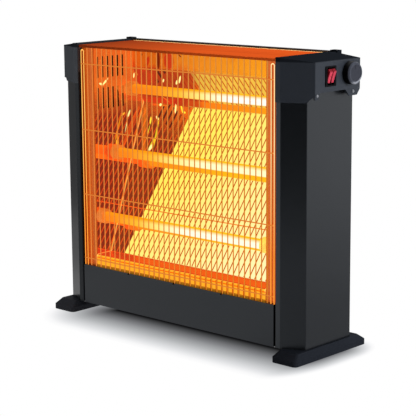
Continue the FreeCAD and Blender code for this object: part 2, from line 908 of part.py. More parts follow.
# One rocker with its two stub pins; its lower end is pressed in at rest
def rocker(side):
    y, z = switch_place()
    x = rocker_pivot_x()
    inner, outer = y + side * (divider_half + rocker_side_gap), y + side * (pocket_half_width - rocker_side_gap)
    y0, y1 = sorted((inner, outer))
    pairs = [
        (x - rocker_back_reach, z - rocker_back_half),
        (x + rocker_shoulder_reach, z - rocker_half_height),
        (x + rocker_end_reach, z - rocker_crest_half),
        (x + rocker_middle_reach, z),
        (x + rocker_end_reach, z + rocker_crest_half),
        (x + rocker_shoulder_reach, z + rocker_half_height),
        (x - rocker_back_reach, z + rocker_back_half),
    ]
    crest_radius = rocker_pin_radius / 2
    radii = [rocker_pin_radius, 0, crest_radius, 0, crest_radius, 0, rocker_pin_radius]
    body = prism(pairs, radii, on_xz(y0), axis_y * (y1 - y0))
    body.rotate(Vector(x, y, z), axis_y, rocker_tilt_deg)
    inner_length = rocker_side_gap + rocker_inner_pin
    outer_length = rocker_side_gap + rocker_outer_pin
    return fused([
        body,
        rod(rocker_pin_radius, Vector(x, inner, z), inner_length, axis_y * -side),
        rod(rocker_pin_radius, Vector(x, outer, z), outer_length, axis_y * side),
    ])


# A round bar with one flat along it, as on a control shaft
def flatted_bar(radius, start, length):
    bar = rod(radius, start, length, axis_x)
    return bar.cut(box(start.x, start.x + length, start.y - radius, start.y + radius,
                       start.z + radius - shaft_flat, start.z + radius))


def thermostat_shaft():
    y, z = knob_place()
    start = cap_half - cap_wall - thermostat_depth + shaft_end_inset
    bare_end = cap_half + knob_gap
    round_part = rod(shaft_radius, Vector(start, y, z), bare_end - start, axis_x)
    flat_part = flatted_bar(shaft_radius, Vector(bare_end, y, z), shaft_in_knob)
    return fused([round_part, flat_part])


def thermostat_knob():
    y, z = knob_place()
    base = cap_half + knob_gap
    face = base + knob_height
    profile = [
        Vector(base, y, z),
        Vector(base, y, z + knob_radius),
        Vector(face - knob_bevel, y, z + knob_radius),
        Vector(face, y, z + knob_face_radius),
        Vector(face, y, z + knob_dish_radius),
        Vector(face - knob_dish_depth, y, z + knob_dish_radius - knob_dish_depth),
        Vector(face - knob_dish_depth, y, z),
    ]
    turned = Part.Face(Part.makePolygon(profile + profile[:1])).revolve(Vector(0, y, z), axis_x, 360)
    return turned.cut(flatted_bar(shaft_radius + shaft_gap, Vector(base, y, z), shaft_in_knob))


def thermostat_body():
    y, z = knob_place()
    face = cap_half - cap_wall
    shape = fused([
        box(face - thermostat_depth, face, y - thermostat_half, y + thermostat_half, z - thermostat_half,
            z + thermostat_half),
        rod(bush_radius, Vector(face, y, z), cap_wall, axis_x),
    ])
    start = face - thermostat_depth + shaft_end_inset
    return shape.cut(rod(shaft_radius + shaft_gap, Vector(start, y, z), thermostat_depth + overrun, axis_x))


def thermal_cutout():
    start = Vector(wall_half_gap + wall_sheet, front_y + cutout_setback, tube_places[1][1])
    return rod(cutout_radius, start, cutout_height, axis_x)


def tilt_switch():
    x1 = casing_half - column_sheet - tilt_inset
    y0 = front_y + tilt_front_setback
    z0 = base_z + plate_sheet
    return box(x1 - tilt_width, x1, y0, y0 + tilt_width, z0, z0 + tilt_height)


def terminal_block():
    x1 = casing_half - column_sheet - tilt_inset / 2
    y = knob_place()[0]
    z0 = base_z + plate_sheet
    return box(x1 - block_width, x1, y - block_length / 2, y + block_length / 2, z0, z0 + block_height)


# A lead along a route of points, its corners rounded by tangent arcs
def lead(points):
    edges = []
    last = points[0]
    for i in range(1, len(points) - 1):
        here = points[i]
        back = Vector(points[i - 1] - here).normalize()
        ahead = Vector(points[i + 1] - here).normalize()
        half = back.getAngle(ahead) / 2
        reach = lead_bend / math.tan(half)
        inward = Vector(back + ahead).normalize()
        middle = here + inward * (lead_bend / math.sin(half) - lead_bend)
        edges.append(Part.makeLine(last, here + back * reach))
        edges.append(Part.Arc(here + back * reach, middle, here + ahead * reach).toShape())
        last = here + ahead * reach
    edges.append(Part.makeLine(last, points[-1]))
    route = Part.Wire(edges)
    way = (points[1] - points[0]).normalize()
    section = Part.Wire(Part.makeCircle(lead_radius, points[0], way))
    return route.makePipeShell([section], True, False)


# Leads from the right terminals to the switch, and from the terminal block to the thermostat
def supply_leads():
    switch_y, switch_z = switch_place()
    knob_y, knob_z = knob_place()
    start_x = ceramic_end_x + stud_length
    riser_x = start_x + lead_reach
    rear_x = cap_half - switch_depth
    leads = []
    for i, (y, z) in enumerate(tube_places):
        level = switch_z + (i - 1) * lead_spacing
        target = switch_y + (i - 1) * lead_spacing
        points = [Vector(start_x, y, z), Vector(riser_x, y, z), Vector(riser_x, y, level)]
        if abs(target - y) > lead_bend:
            points.append(Vector(riser_x, target, level))
            points.append(Vector(rear_x, target, level))
        else:
            points.append(Vector(rear_x, y, level))
        leads.append(lead(points))
    low = Vector(cap_half - cap_wall - thermostat_depth + shaft_end_inset, knob_y,
                 base_z + plate_sheet + block_height)
    leads.append(rod(lead_radius, low, knob_z - thermostat_half - low.z, axis_z))
    return leads


def cap_screws():
    screws = []
    for y, z in cap_screw_places():
        right = screw(Vector(cap_half, y, z), -axis_x, cap_overhang + screw_grip)
        screws += [right, mirrored(right)]
    return screws


def foot_screws():
    seat = base_z - foot_roof
    return [screw(Vector(x, y, seat), axis_z, foot_roof + screw_grip) for x, y in foot_screw_places()]


def rear_panel_screws():
    return [screw(Vector(x, pan_y, z), -axis_y, screw_grip) for x, z in rear_screw_places()]


def wall_screws():
    screws = []
    for z in wall_screw_heights():
        right = screw(Vector(opening_half - wall_sheet, wall_screw_y(), z), axis_x, screw_grip)
        screws += [right, mirrored(right)]
    return screws


column = side_column()
save("right_side_column", column)
save("left_side_column", mirrored(column))
wall = reflector_wall()
save("right_reflector_wall", wall)
save("left_reflector_wall", mirrored(wall))
save("back_reflector", back_reflector())
save("front_lower_panel", front_panel())
save("base_plate", base_plate())
save("top_plate", top_plate())
save("rear_panel", rear_panel())
save("cord_gland", cord_gland())
right_foot = foot()
save("right_foot", right_foot)
save("left_foot", mirrored(right_foot))
save("foot_pads", *foot_pads())
for name, (y, z) in zip(("lower", "middle", "upper"), tube_places):
    save(f"{name}_quartz_tube", quartz_tube(y, z))
    save(f"{name}_heating_coil", heating_coil(y, z))
ceramics = [ceramic(y, z) for y, z in tube_places]
save("right_tube_ceramics", *ceramics)
save("left_tube_ceramics", *[mirrored(c) for c in ceramics])
clips = [ceramic_clip(y, z) for y, z in tube_places]
save("ceramic_clips", *clips, *[mirrored(c) for c in clips])
right_terminals = [terminal(y, z, 0) for y, z in tube_places]
left_terminals = [mirrored(terminal(y, z, bar_thickness)) for y, z in tube_places]
save("tube_terminals", *right_terminals, *left_terminals)
save("left_bus_bar", left_bus_bar())
save("supply_leads", *supply_leads())
save("wire_guard", wire_guard())
save("right_control_cap", control_cap())
save("left_top_cap", mirrored(top_cap()))
save("switch_housing", switch_housing())
save("front_rocker", rocker(-1))
save("rear_rocker", rocker(1))
save("thermostat_shaft", thermostat_shaft())
save("thermostat_knob", thermostat_knob())
save("thermostat_body", thermostat_body())
save("thermal_cutout", thermal_cutout())
save("tilt_switch", tilt_switch())
save("terminal_block", terminal_block())
save("cap_screws", *cap_screws())
save("foot_screws", *foot_screws())
save("rear_panel_screws", *rear_panel_screws())
save("wall_screws", *wall_screws())
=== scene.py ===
import math

import bpy
from mathutils import Matrix, Vector


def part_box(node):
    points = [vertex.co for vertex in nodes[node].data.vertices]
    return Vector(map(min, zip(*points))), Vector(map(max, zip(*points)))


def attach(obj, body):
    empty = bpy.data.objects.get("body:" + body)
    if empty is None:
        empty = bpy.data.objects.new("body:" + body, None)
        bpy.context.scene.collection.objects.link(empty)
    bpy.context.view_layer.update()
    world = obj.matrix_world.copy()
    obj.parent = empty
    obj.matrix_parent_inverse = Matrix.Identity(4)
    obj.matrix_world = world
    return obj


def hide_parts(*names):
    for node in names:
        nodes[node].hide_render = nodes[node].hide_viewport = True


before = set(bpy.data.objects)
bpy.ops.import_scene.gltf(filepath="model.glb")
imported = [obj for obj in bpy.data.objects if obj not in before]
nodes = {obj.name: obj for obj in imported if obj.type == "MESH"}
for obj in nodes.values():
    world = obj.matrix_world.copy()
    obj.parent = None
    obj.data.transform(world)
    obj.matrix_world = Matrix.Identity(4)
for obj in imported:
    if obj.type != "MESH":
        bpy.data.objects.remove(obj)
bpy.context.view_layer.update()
print("frame loaded:", len(nodes), "nodes")

mm = 0.001


# colours are written as they look on screen, 0 to 255
def tone(red, green, blue):
    linear = []
    for part in (red, green, blue):
        c = part / 255
        linear.append(c / 12.92 if c <= 0.04045 else ((c + 0.055) / 1.055) ** 2.4)
    return (*linear, 1.0)


def dimmed(colour, share):
    return (*(c * share for c in colour[:3]), 1.0)


# a socket that can be used in plain sums
class Value:
    def __init__(self, look, socket):
        self.look = look
        self.socket = socket

    def calc(self, operation, first, second=0.0):
        return self.look.add("ShaderNodeMath", {"operation": operation}, {0: first, 1: second})

    def __add__(self, other):
        return self.calc("ADD", self, other)

    def __radd__(self, other):
        return self.calc("ADD", other, self)

    def __sub__(self, other):
        return self.calc("SUBTRACT", self, other)

    def __rsub__(self, other):
        return self.calc("SUBTRACT", other, self)

    def __mul__(self, other):
        return self.calc("MULTIPLY", self, other)

    def __rmul__(self, other):
        return self.calc("MULTIPLY", other, self)

    def __truediv__(self, other):
        return self.calc("DIVIDE", self, other)

    def __rtruediv__(self, other):
        return self.calc("DIVIDE", other, self)

    def __gt__(self, other):
        return self.calc("GREATER_THAN", self, other)

    def __lt__(self, other):
        return self.calc("LESS_THAN", self, other)

    def atLeast(self, other):
        return self.calc("MAXIMUM", self, other)

    def atMost(self, other):
        return self.calc("MINIMUM", self, other)

    def size(self):
        return self.calc("ABSOLUTE", self)

    def power(self, other):
        return self.calc("POWER", self, other)


# one material and the nodes in it
class Look:
    def __init__(self, name):
        self.material = bpy.data.materials.new(name)
        self.material.use_nodes = True
        self.tree = self.material.node_tree
        self.tree.nodes.clear()

    def add(self, kind, settings=None, sockets=None, out=0):
        node = self.tree.nodes.new(kind)
        for key, value in (settings or {}).items():
            if key == "stops":
                ramp = node.color_ramp
                while len(ramp.elements) < len(value):
                    ramp.elements.new(0.5)
                for element, (place, colour) in zip(ramp.elements, value):
                    element.position = place
                    element.color = colour
            else:
                setattr(node, key, value)
        for key, value in (sockets or {}).items():
            if isinstance(value, Value):
                self.tree.links.new(value.socket, node.inputs[key])
            else:
                node.inputs[key].default_value = value
        return Value(self, node.outputs[out])

    def place(self):
        here = self.add("ShaderNodeTexCoord", out="Object")
        split = self.add("ShaderNodeSeparateXYZ", sockets={0: here})
        return [Value(self, axis) for axis in split.socket.node.outputs]

    def noise(self, scale, detail=2.0, stretch=(1.0, 1.0, 1.0)):
        here = self.add("ShaderNodeTexCoord", out="Object")
        spread = self.add("ShaderNodeMapping", sockets={"Vector": here, "Scale": stretch})
        return self.add("ShaderNodeTexNoise", sockets={"Vector": spread, "Scale": scale, "Detail": detail})

    # a colour mix has its factor at 0, its colours at 6 and 7 and its result at 2
    def mix(self, share, first, second):
        return self.add("ShaderNodeMix", {"data_type": "RGBA"}, {0: share, 6: first, 7: second}, out=2)

    def ramp(self, value, *stops):
        return self.add("ShaderNodeValToRGB", {"stops": stops}, {0: value})

    def bump(self, height, strength, distance):
        sockets = {"Strength": strength, "Distance": distance, "Height": height}
        return self.add("ShaderNodeBump", sockets=sockets)

    def surface(self, **sockets):
        named = {key.replace("_", " "): value for key, value in sockets.items()}
        self.close(self.add("ShaderNodeBsdfPrincipled", sockets=named))
        return self

    def close(self, shader):
        output = self.tree.nodes.new("ShaderNodeOutputMaterial")
        self.tree.links.new(shader.socket, output.inputs[0])


# 0 to 1 as a value passes from low to high
def between(value, low, high):
    return ((value - low) / (high - low)).atLeast(0.0).atMost(1.0)


# length of a step along two axes
def reach(first, second):
    return (first * first + second * second).power(0.5)


# oval mark, 1 in the middle and 0 from its edge outwards
def spot(first, second, mark):
    centre, half, lean = mark
    c, s = math.cos(math.radians(lean)), math.sin(math.radians(lean))
    offFirst, offSecond = first - centre[0] * mm, second - centre[1] * mm
    along = (offFirst * c + offSecond * s) / (half[0] * mm)
    across = (offSecond * c - offFirst * s) / (half[1] * mm)
    return ((1 - (along * along + across * across)) * 2).atLeast(0.0).atMost(1.0)


def spots(first, second, marks):
    whole = spot(first, second, marks[0])
    for mark in marks[1:]:
        whole = whole.atLeast(spot(first, second, mark))
    return whole


def dress(look, *names):
    for name in names:
        piece = nodes[name]
        piece.data.materials.clear()
        piece.data.materials.append(look.material)


def meshPiece(name, corners, faces, look):
    mesh = bpy.data.meshes.new(name)
    mesh.from_pydata(corners, [], faces)
    mesh.materials.append(look.material)
    piece = bpy.data.objects.new(name, mesh)
    bpy.context.scene.collection.objects.link(piece)
    return piece


# view the photograph was taken from
cameraSetup = {
    "spot": (1.80324, -1.95007, 0.73314),
    "azimuth": 42.51,
    "down": 10.854,
    "roll": -0.399,
    "lens": 126.7,
    "sensor": 36.0,
}


def setCamera(setup):
    a, p, r = (math.radians(setup[k]) for k in ("azimuth", "down", "roll"))
    back = Vector((math.sin(a) * math.cos(p), -math.cos(a) * math.cos(p), math.sin(p)))
    side = Vector((math.cos(a), math.sin(a), 0))
    top = back.cross(side)
    right = math.cos(r) * side + math.sin(r) * top
    up = -math.sin(r) * side + math.cos(r) * top
    data = bpy.data.cameras.new("heaterCamera")
    data.lens = setup["lens"]
    data.sensor_width = setup["sensor"]
    camera = bpy.data.objects.new("heaterCamera", data)
    bpy.context.scene.collection.objects.link(camera)
    turn = Matrix((right, up, back)).transposed().to_4x4()
    camera.matrix_world = Matrix.Translation(Vector(setup["spot"])) @ turn
    bpy.context.scene.camera = camera


setCamera(cameraSetup)
bpy.context.scene.view_settings.view_transform = "Standard"
print("camera set")


# dark semi-gloss paint on the pressed steel, with its shine on each panel; the front panel and the left
# column are shaded copies with less shine, painted shade
paintSetup = {
    "body": tone(17, 19, 22),
    "rearBody": tone(14, 14, 16),
    "shine": 0.5,
    "panelShine": 0.43,
    "leftShine": 0.23,
    "sheen": (0.84, 0.91, 1.0, 1.0),
    "gloss": 0.26,
    "glossSpread": 0.08,
    "cloudScale": 6.0,
    "cloudDetail": 3.0,
    "cloudShare": 0.5,
    "cloudShade": 0.82,
    "peelScale": 900.0,
    "peelDetail": 1.0,
    "peelStrength": 0.25,
    "peelDepth": 0.02 * mm,
}


def paintedSteel(name, body, shine, setup):
    look = Look(name)
    cloud = look.noise(setup["cloudScale"], setup["cloudDetail"])
    peel = look.noise(setup["peelScale"], setup["peelDetail"])
    return look.surface(
        Base_Color=look.mix(cloud * setup["cloudShare"], body, dimmed(body, setup["cloudShade"])),
        Roughness=cloud * setup["glossSpread"] + setup["gloss"],
        Specular_IOR_Level=shine,
        Specular_Tint=setup["sheen"],
        Normal=look.bump(peel, setup["peelStrength"], setup["peelDepth"]),
    )


paint = paintedSteel("anthracitePaint", paintSetup["body"], paintSetup["shine"], paintSetup)
# painted shade: the front panel and the left column get less shine than the right column
panelPaint = paintedSteel("panelPaint", paintSetup["body"], paintSetup["panelShine"], paintSetup)
leftPaint = paintedSteel("leftPaint", paintSetup["body"], paintSetup["leftShine"], paintSetup)
rearPaint = paintedSteel("rearPaint", paintSetup["rearBody"], paintSetup["shine"], paintSetup)
dress(paint, "right_side_column")
dress(panelPaint, "front_lower_panel")
dress(leftPaint, "left_side_column")
dress(rearPaint, "rear_panel")


# moulded plastic and rubber: colour, roughness and weight of the clear skin, then what they share; the left
# cap and the left foot are lighter copies, painted light
plasticSetup = {
    "capPlastic": (tone(43, 47, 54), 0.5, 0.35),
    # painted light: the left cap is a lighter copy of the cap plastic
    "litLeftCapPlastic": (tone(62, 66, 72), 0.5, 0.42),
    "footPlastic": (tone(30, 33, 39), 0.5, 0.05),
    # painted light: the left foot is a lighter copy of the foot plastic
    "litLeftFootPlastic": (tone(56, 58, 64), 0.5, 0.1),
    "switchPlastic": (tone(10, 10, 12), 0.3, 0.12),
    "innerPlastic": (tone(60, 58, 55), 0.5, 0.0),
    "padRubber": (tone(22, 22, 23), 0.75, 0.0),
    "leadSleeve": (tone(196, 190, 178), 0.6, 0.0),
    "skinGloss": 0.4,
    "glossSpread": 0.08,
    "cloudScale": 9.0,
    "cloudShare": 0.4,
    "cloudShade": 0.85,
    "grainScale": 1400.0,
    "grainStrength": 0.3,
    "grainDepth": 0.04 * mm,
    "capSideBelow": (513.7 * mm, 512.2 * mm),
    # painted shade: how much darker the cap tops are
    "capTopPaintedShade": 0.38,
}


# painted shade: the tops of the caps are darker than their sides, and the tops have no clear skin
def mouldedPlastic(name, setup, cap=False):
    look = Look(name)
    body, gloss, skin = setup[name]
    cloud = look.noise(setup["cloudScale"])
    grain = look.noise(setup["grainScale"])
    shade = look.mix(cloud * setup["cloudShare"], body, dimmed(body, setup["cloudShade"]))
    if cap:
        side = between(look.place()[2], *setup["capSideBelow"])
        shade = look.mix(side, dimmed(body, setup["capTopPaintedShade"]), shade)
        skin = side * skin
    return look.surface(
        Base_Color=shade,
        Roughness=cloud * setup["glossSpread"] + gloss,
        Specular_IOR_Level=0.0,
        Coat_Weight=skin,
        Coat_Roughness=setup["skinGloss"],
        Normal=look.bump(grain, setup["grainStrength"], setup["grainDepth"]),
    )


dress(mouldedPlastic("capPlastic", plasticSetup, True), "right_control_cap", "cord_gland")
dress(mouldedPlastic("litLeftCapPlastic", plasticSetup, True), "left_top_cap")
dress(mouldedPlastic("footPlastic", plasticSetup), "right_foot")
dress(mouldedPlastic("litLeftFootPlastic", plasticSetup), "left_foot")
dress(mouldedPlastic("switchPlastic", plasticSetup), "switch_housing")
dress(mouldedPlastic("innerPlastic", plasticSetup), "thermostat_body", "thermal_cutout", "tilt_switch")
dress(mouldedPlastic("padRubber", plasticSetup), "foot_pads")
dress(mouldedPlastic("leadSleeve", plasticSetup), "supply_leads")


# rockers: painted shade, darker above their bend and along one edge, in shares of height and width
rockerSetup = {
    "red": tone(172, 52, 70),
    "dark": tone(100, 4, 18),
    "glow": tone(196, 26, 52),
    "glowStrength": 0.04,
    "bend": (0.79, 0.86),
    "edge": (0.36, 0.16),
    "gloss": 0.35,
    "glossSpread": 0.1,
    "shine": 0.1,
}


def rockerFinish(side, setup):
    look = Look(side + "RockerRed")
    low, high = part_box(side + "_rocker")
    grain = look.noise(plasticSetup["grainScale"])
    _, y, z = look.place()
    # painted shade above the bend and along the low edge of each rocker
    upper = between((z - low.z) / (high.z - low.z), *setup["bend"])
    edge = between((y - low.y) / (high.y - low.y), *setup["edge"])
    return look.surface(
        Base_Color=look.mix(upper.atLeast(edge), setup["red"], setup["dark"]),
        Roughness=grain * setup["glossSpread"] + setup["gloss"],
        Specular_IOR_Level=setup["shine"],
        Emission_Color=setup["glow"],
        Emission_Strength=setup["glowStrength"],
    )


for side in ("front", "rear"):
    dress(rockerFinish(side, rockerSetup), side + "_rocker")


# knob: black skirt and lighter face; the lighter ring round the dish and the brighter glint on its lower
# side are a painted highlight
knobLow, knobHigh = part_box("thermostat_knob")
knobSetup = {
    "skirt": tone(4, 4, 5),
    "face": tone(46, 48, 56),
    # painted highlight: the ring round the dish and its glint
    "ring": tone(58, 61, 70),
    "ringFrom": (14.4 * mm, 14.6 * mm),
    "paintedGlint": tone(120, 123, 132),
    "paintedGlintLean": (0.35, -0.94),
    "paintedGlintFrom": (9.0 * mm, 14.5 * mm),
    "faceDepth": 1.6 * mm,
    "bevelDepth": 3.0 * mm,
    "gloss": 0.45,
    "shine": 0.08,
    "grainStrength": 0.25,
}


def knobFinish(setup):
    look = Look("knobPlastic")
    grain = look.noise(plasticSetup["grainScale"])
    x, y, z = look.place()
    offY = y - (knobLow.y + knobHigh.y) / 2
    offZ = z - (knobLow.z + knobHigh.z) / 2
    face = between(x, knobHigh.x - setup["bevelDepth"], knobHigh.x - setup["faceDepth"])
    # painted highlight on the ring, brighter where the glint falls
    ring = between(reach(offY, offZ), *setup["ringFrom"]) * face
    leanY, leanZ = setup["paintedGlintLean"]
    paintedGlint = between(offY * leanY + offZ * leanZ, *setup["paintedGlintFrom"])
    colour = look.mix(face, setup["skirt"], setup["face"])
    rim = look.mix(paintedGlint, setup["ring"], setup["paintedGlint"])
    return look.surface(
        Base_Color=look.mix(ring, colour, rim),
        Roughness=setup["gloss"],
        Specular_IOR_Level=setup["shine"],
        Normal=look.bump(grain, setup["grainStrength"], plasticSetup["grainDepth"]),
    )


knobPlastic = knobFinish(knobSetup)
dress(knobPlastic, "thermostat_knob")


# what the polished sheets behind the tubes share: a painted glow, red patches of painted reflection and
# painted glints
mirrorSetup = {
    "paintedGlow": (0.13, 0.019, 0.009, 1.0),
    # painted reflection: red cloud patches on the satin parts
    "red": (0.62, 0.05, 0.01, 1.0),
    "paintedGlint": (1.0, 1.0, 0.34, 1.0),
    "rear": (0.1, 0.1, 0.105, 1.0),
    "dark": (0.0, 0.0, 0.0, 1.0),
    "waveScale": 18.0,
    "gloss": 0.01,
    "satinDull": 0.6,
    "satinRough": 0.3,
}
# front face of the folded sheet as depth and height in mm, from the top lip down
foldSetup = {
    "lipAt": 36.6,
    "lipFrom": 471.0,
    "upperFacet": ((36.8, 470.0), (63.0, 400.2)),
    "lowerFacet": ((63.0, 398.8), (-30.5, 118.9)),
    "rearFrom": (0.3 * mm, 0.5 * mm),
    "shelfBend": (-65.2, 114.7),
    "shelfSkin": (2.6 * mm, 2.3 * mm),
}


# distance behind the front face of one facet
def behind(y, z, facet):
    (y0, z0), (y1, z1) = facet
    along = Vector((y1 - y0, z1 - z0)).normalized()
    return (z - z0 * mm) * along.x - (y - y0 * mm) * along.y


# 1 on everything behind the folded sheet and under its shelf
def behindSheet(y, z, setup):
    top = z > setup["lipFrom"] * mm
    depth = behind(y, z, setup["upperFacet"]).atLeast(behind(y, z, setup["lowerFacet"]))
    lip = between(y - setup["lipAt"] * mm, *setup["rearFrom"])
    rear = between(depth, *setup["rearFrom"]) * (1 - top) + lip * top
    bendY, bendZ = setup["shelfBend"]
    out = (bendY * mm - y).atLeast(0.0)
    up = (z - bendZ * mm).atLeast(0.0)
    return rear.atLeast(between(reach(out, up), *setup["shelfSkin"]))


# folded sheet: colours and shares, then where each change starts and ends in metres. The warm tints, paler
# to the right and darker at the upper left, are painted light; its glow, the lines along the fold and the
# crease, the streaks, the lip's red patches and the glints are painted light and reflection
sheetSetup = {
    "tint": (1.0, 0.87, 0.11, 1.0),
    "paleTint": (1.0, 0.96, 0.52, 1.0),
    "upperTint": (0.92, 0.62, 0.07, 1.0),
    "leftTint": (0.5, 0.16, 0.03, 1.0),
    "footTint": (0.95, 0.45, 0.025, 1.0),
    "footGlow": (0.25, 0.05, 0.002, 1.0),
    "shelfTint": (0.5, 0.1, 0.022, 1.0),
    "shelfGlow": (0.3, 0.045, 0.01, 1.0),
    "edge": (1.0, 0.48, 0.12, 1.0),
    "foldHighlight": (0.8, 0.4, 0.09, 1.0),
    "creaseHighlight": (0.55, 0.13, 0.012, 1.0),
    "streak": (0.72, 0.56, 0.02, 1.0),
    "lipLeft": (0.72, 0.17, 0.012, 1.0),
    "lipRight": (0.92, 0.42, 0.01, 1.0),
    "lipTop": (0.72, 0.1, 0.012, 1.0),
    "lipDark": (0.2, 0.02, 0.004, 1.0),
    "lipGlow": 0.45,
    "redShare": 0.6,
    "wave": 0.015,
    "shelfRough": 0.2,
    "rearRough": 0.3,
    "cloudScale": 22.0,
    "redFrom": (0.5, 0.62),
    "lipFrom": (0.468, 0.472),
    "lipAlong": (-0.2, 0.2),
    "lipTopFrom": (0.499, 0.506),
    "redAlong": (0.1, -0.05),
    "upperFrom": (0.398, 0.401),
    "leftFrom": (-0.045, -0.065),
    "paleFrom": (-0.36, 0.1),
    "shelfAbove": (0.1200, 0.1185),
    "shelfBelow": (0.1150, 0.1165),
    "shelfBehind": (-0.030, -0.033),
    "footBelow": (0.1168, 0.1160),
    "footFrom": (-0.066, -0.067),
    "foldFrom": (0.2093, 0.2100),
    "foldLow": (0.105, 0.115),
    "foldHigh": (0.41, 0.40),
    "creaseAt": (0.204, 0.388),
    "creaseLean": 0.29,
    "creaseWidth": 0.0052,
    "creaseLow": (0.298, 0.306),
    "creaseHigh": (0.394, 0.386),
    # marks: place in mm, half sizes in mm, lean in degrees
    "paintedGlints": [
        ((-164.0, 397.5), (3.4, 3.0), 0.0),
        ((-122.5, 393.0), (10.0, 2.4), 100.0),
        ((-165.0, 372.5), (6.0, 2.6), -40.0),
        ((-166.0, 317.0), (8.0, 4.0), 60.0),
        ((-139.0, 447.0), (5.0, 1.8), 50.0),
        ((-104.0, 446.0), (6.5, 2.4), 50.0),
        ((-94.0, 452.0), (10.0, 2.2), 58.0),
    ],
    "paintedStreaks": [
        ((-159.0, 345.0), (30.0, 2.4), 92.0),
        ((-164.0, 326.0), (16.0, 3.4), 66.0),
    ],
    "lipMarks": [
        ((-187.5, 496.0), (4.0, 1.6), -58.0),
        ((-86.5, 497.3), (4.5, 1.6), -30.0),
        ((-143.0, 486.0), (20.0, 5.0), 90.0),
    ],
    "lipPatches": [
        ((-116.0, 486.0), (19.0, 15.0), 90.0),
        ((-172.0, 482.0), (12.0, 5.0), 70.0),
    ],
}


def reflectorSheet(setup, shared):
    look = Look("reflectorSheet")
    wave = look.noise(shared["waveScale"])
    cloud = look.noise(setup["cloudScale"])
    x, y, z = look.place()
    lip = between(z, *setup["lipFrom"])
    upper = between(z, *setup["upperFrom"])
    shelf = between(z, *setup["shelfAbove"]) * between(z, *setup["shelfBelow"])
    shelf = shelf * between(y, *setup["shelfBehind"])
    foot = between(z, *setup["footBelow"]) * between(y, *setup["footFrom"])
    foldHighlight = between(x.size(), *setup["foldFrom"]) * between(z, *setup["foldLow"])
    foldHighlight = foldHighlight * between(z, *setup["foldHigh"])
    creaseX, creaseZ = setup["creaseAt"]
    offCrease = (x.size() - creaseX + (creaseZ - z) * setup["creaseLean"]).size()
    creaseHighlight = 1 - (offCrease / setup["creaseWidth"]).atMost(1.0)
    creaseHighlight = (creaseHighlight * 2).atMost(1.0) * between(z, *setup["creaseLow"]) * between(z, *setup["creaseHigh"])

    # painted light: the tint turns pale towards the right and darker at the upper left
    tint = look.mix(between(x - z, *setup["paleFrom"]), setup["tint"], setup["paleTint"])
    tint = look.mix(upper, tint, setup["upperTint"])
    tint = look.mix(upper * between(x, *setup["leftFrom"]), tint, setup["leftTint"])
    tint = look.mix(shelf, tint, setup["shelfTint"])
    tint = look.mix(foot, tint, setup["footTint"])

    # painted light on the lip, red at the left and orange at the right, with red patches of painted
    # reflection
    satin = look.mix(between(x, *setup["lipAlong"]), setup["lipLeft"], setup["lipRight"])
    satin = look.mix(between(z, *setup["lipTopFrom"]), satin, setup["lipTop"])
    red = between(cloud, *setup["redFrom"]) * between(x, *setup["redAlong"]) * setup["redShare"]
    satin = look.mix(red, satin, shared["red"])
    satin = look.mix(spots(x, z, setup["lipPatches"]), satin, shared["red"])
    satin = look.mix(spots(x, z, setup["lipMarks"]), satin, setup["lipDark"])

    # painted glow, with painted highlights along the fold and the crease, painted streaks and painted
    # glints
    glow = look.mix(foot, shared["paintedGlow"], setup["footGlow"])
    glow = look.mix(shelf, glow, setup["shelfGlow"])
    glow = look.mix(foldHighlight.atLeast(creaseHighlight), glow, look.mix(foldHighlight, setup["creaseHighlight"], setup["foldHighlight"]))
    glow = look.mix(spots(x, z, setup["paintedStreaks"]), glow, setup["streak"])
    glow = look.mix(lip, glow, look.mix(setup["lipGlow"], shared["dark"], satin))
    glow = look.mix(spots(x, z, setup["paintedGlints"]), glow, shared["paintedGlint"])

    rear = behindSheet(y, z, foldSetup)
    rough = lip * shared["satinRough"] + shelf * setup["shelfRough"] + rear * setup["rearRough"]
    return look.surface(
        Base_Color=look.mix(rear, look.mix(lip, tint, satin), shared["rear"]),
        Metallic=1 - lip * shared["satinDull"],
        Specular_Tint=setup["edge"],
        Roughness=wave * setup["wave"] + shared["gloss"] + rough,
        Emission_Color=look.mix(rear, glow, shared["dark"]),
        Emission_Strength=1.0,
    )


# slotted end walls, in the same way: warm tints and a painted glow, dimmer on the left flange, red patches
# of painted reflection and painted glints
wallSetup = {
    "tint": (1.0, 0.42, 0.05, 1.0),
    "satin": (0.9, 0.33, 0.012, 1.0),
    "satinGlow": (0.42, 0.085, 0.014, 1.0),
    "flange": (0.6, 0.13, 0.008, 1.0),
    "flangeGlow": (0.26, 0.05, 0.003, 1.0),
    "flangeLeftGlow": (0.2, 0.035, 0.003, 1.0),
    "redShare": 0.5,
    "wave": 0.03,
    "rearRough": 0.2,
    "cloudScale": 26.0,
    "redFrom": (0.5, 0.64),
    "satinFrom": (0.38, 0.44),
    "flangeFrom": (-0.0655, -0.0665),
    "leftToRight": (-0.1, 0.1),
    "outsideFrom": (0.2123, 0.2126),
    "behindFlange": (-0.0660, -0.0650),
    "paintedGlints": [
        ((-48.0, 443.2), (6.5, 2.4), -20.0),
        ((-37.0, 447.2), (10.5, 2.2), 38.0),
        ((39.0, 453.0), (5.5, 2.0), 80.0),
        ((24.0, 380.5), (8.5, 2.4), 63.0),
        ((16.5, 359.0), (17.0, 0.9), 74.0),
    ],
}


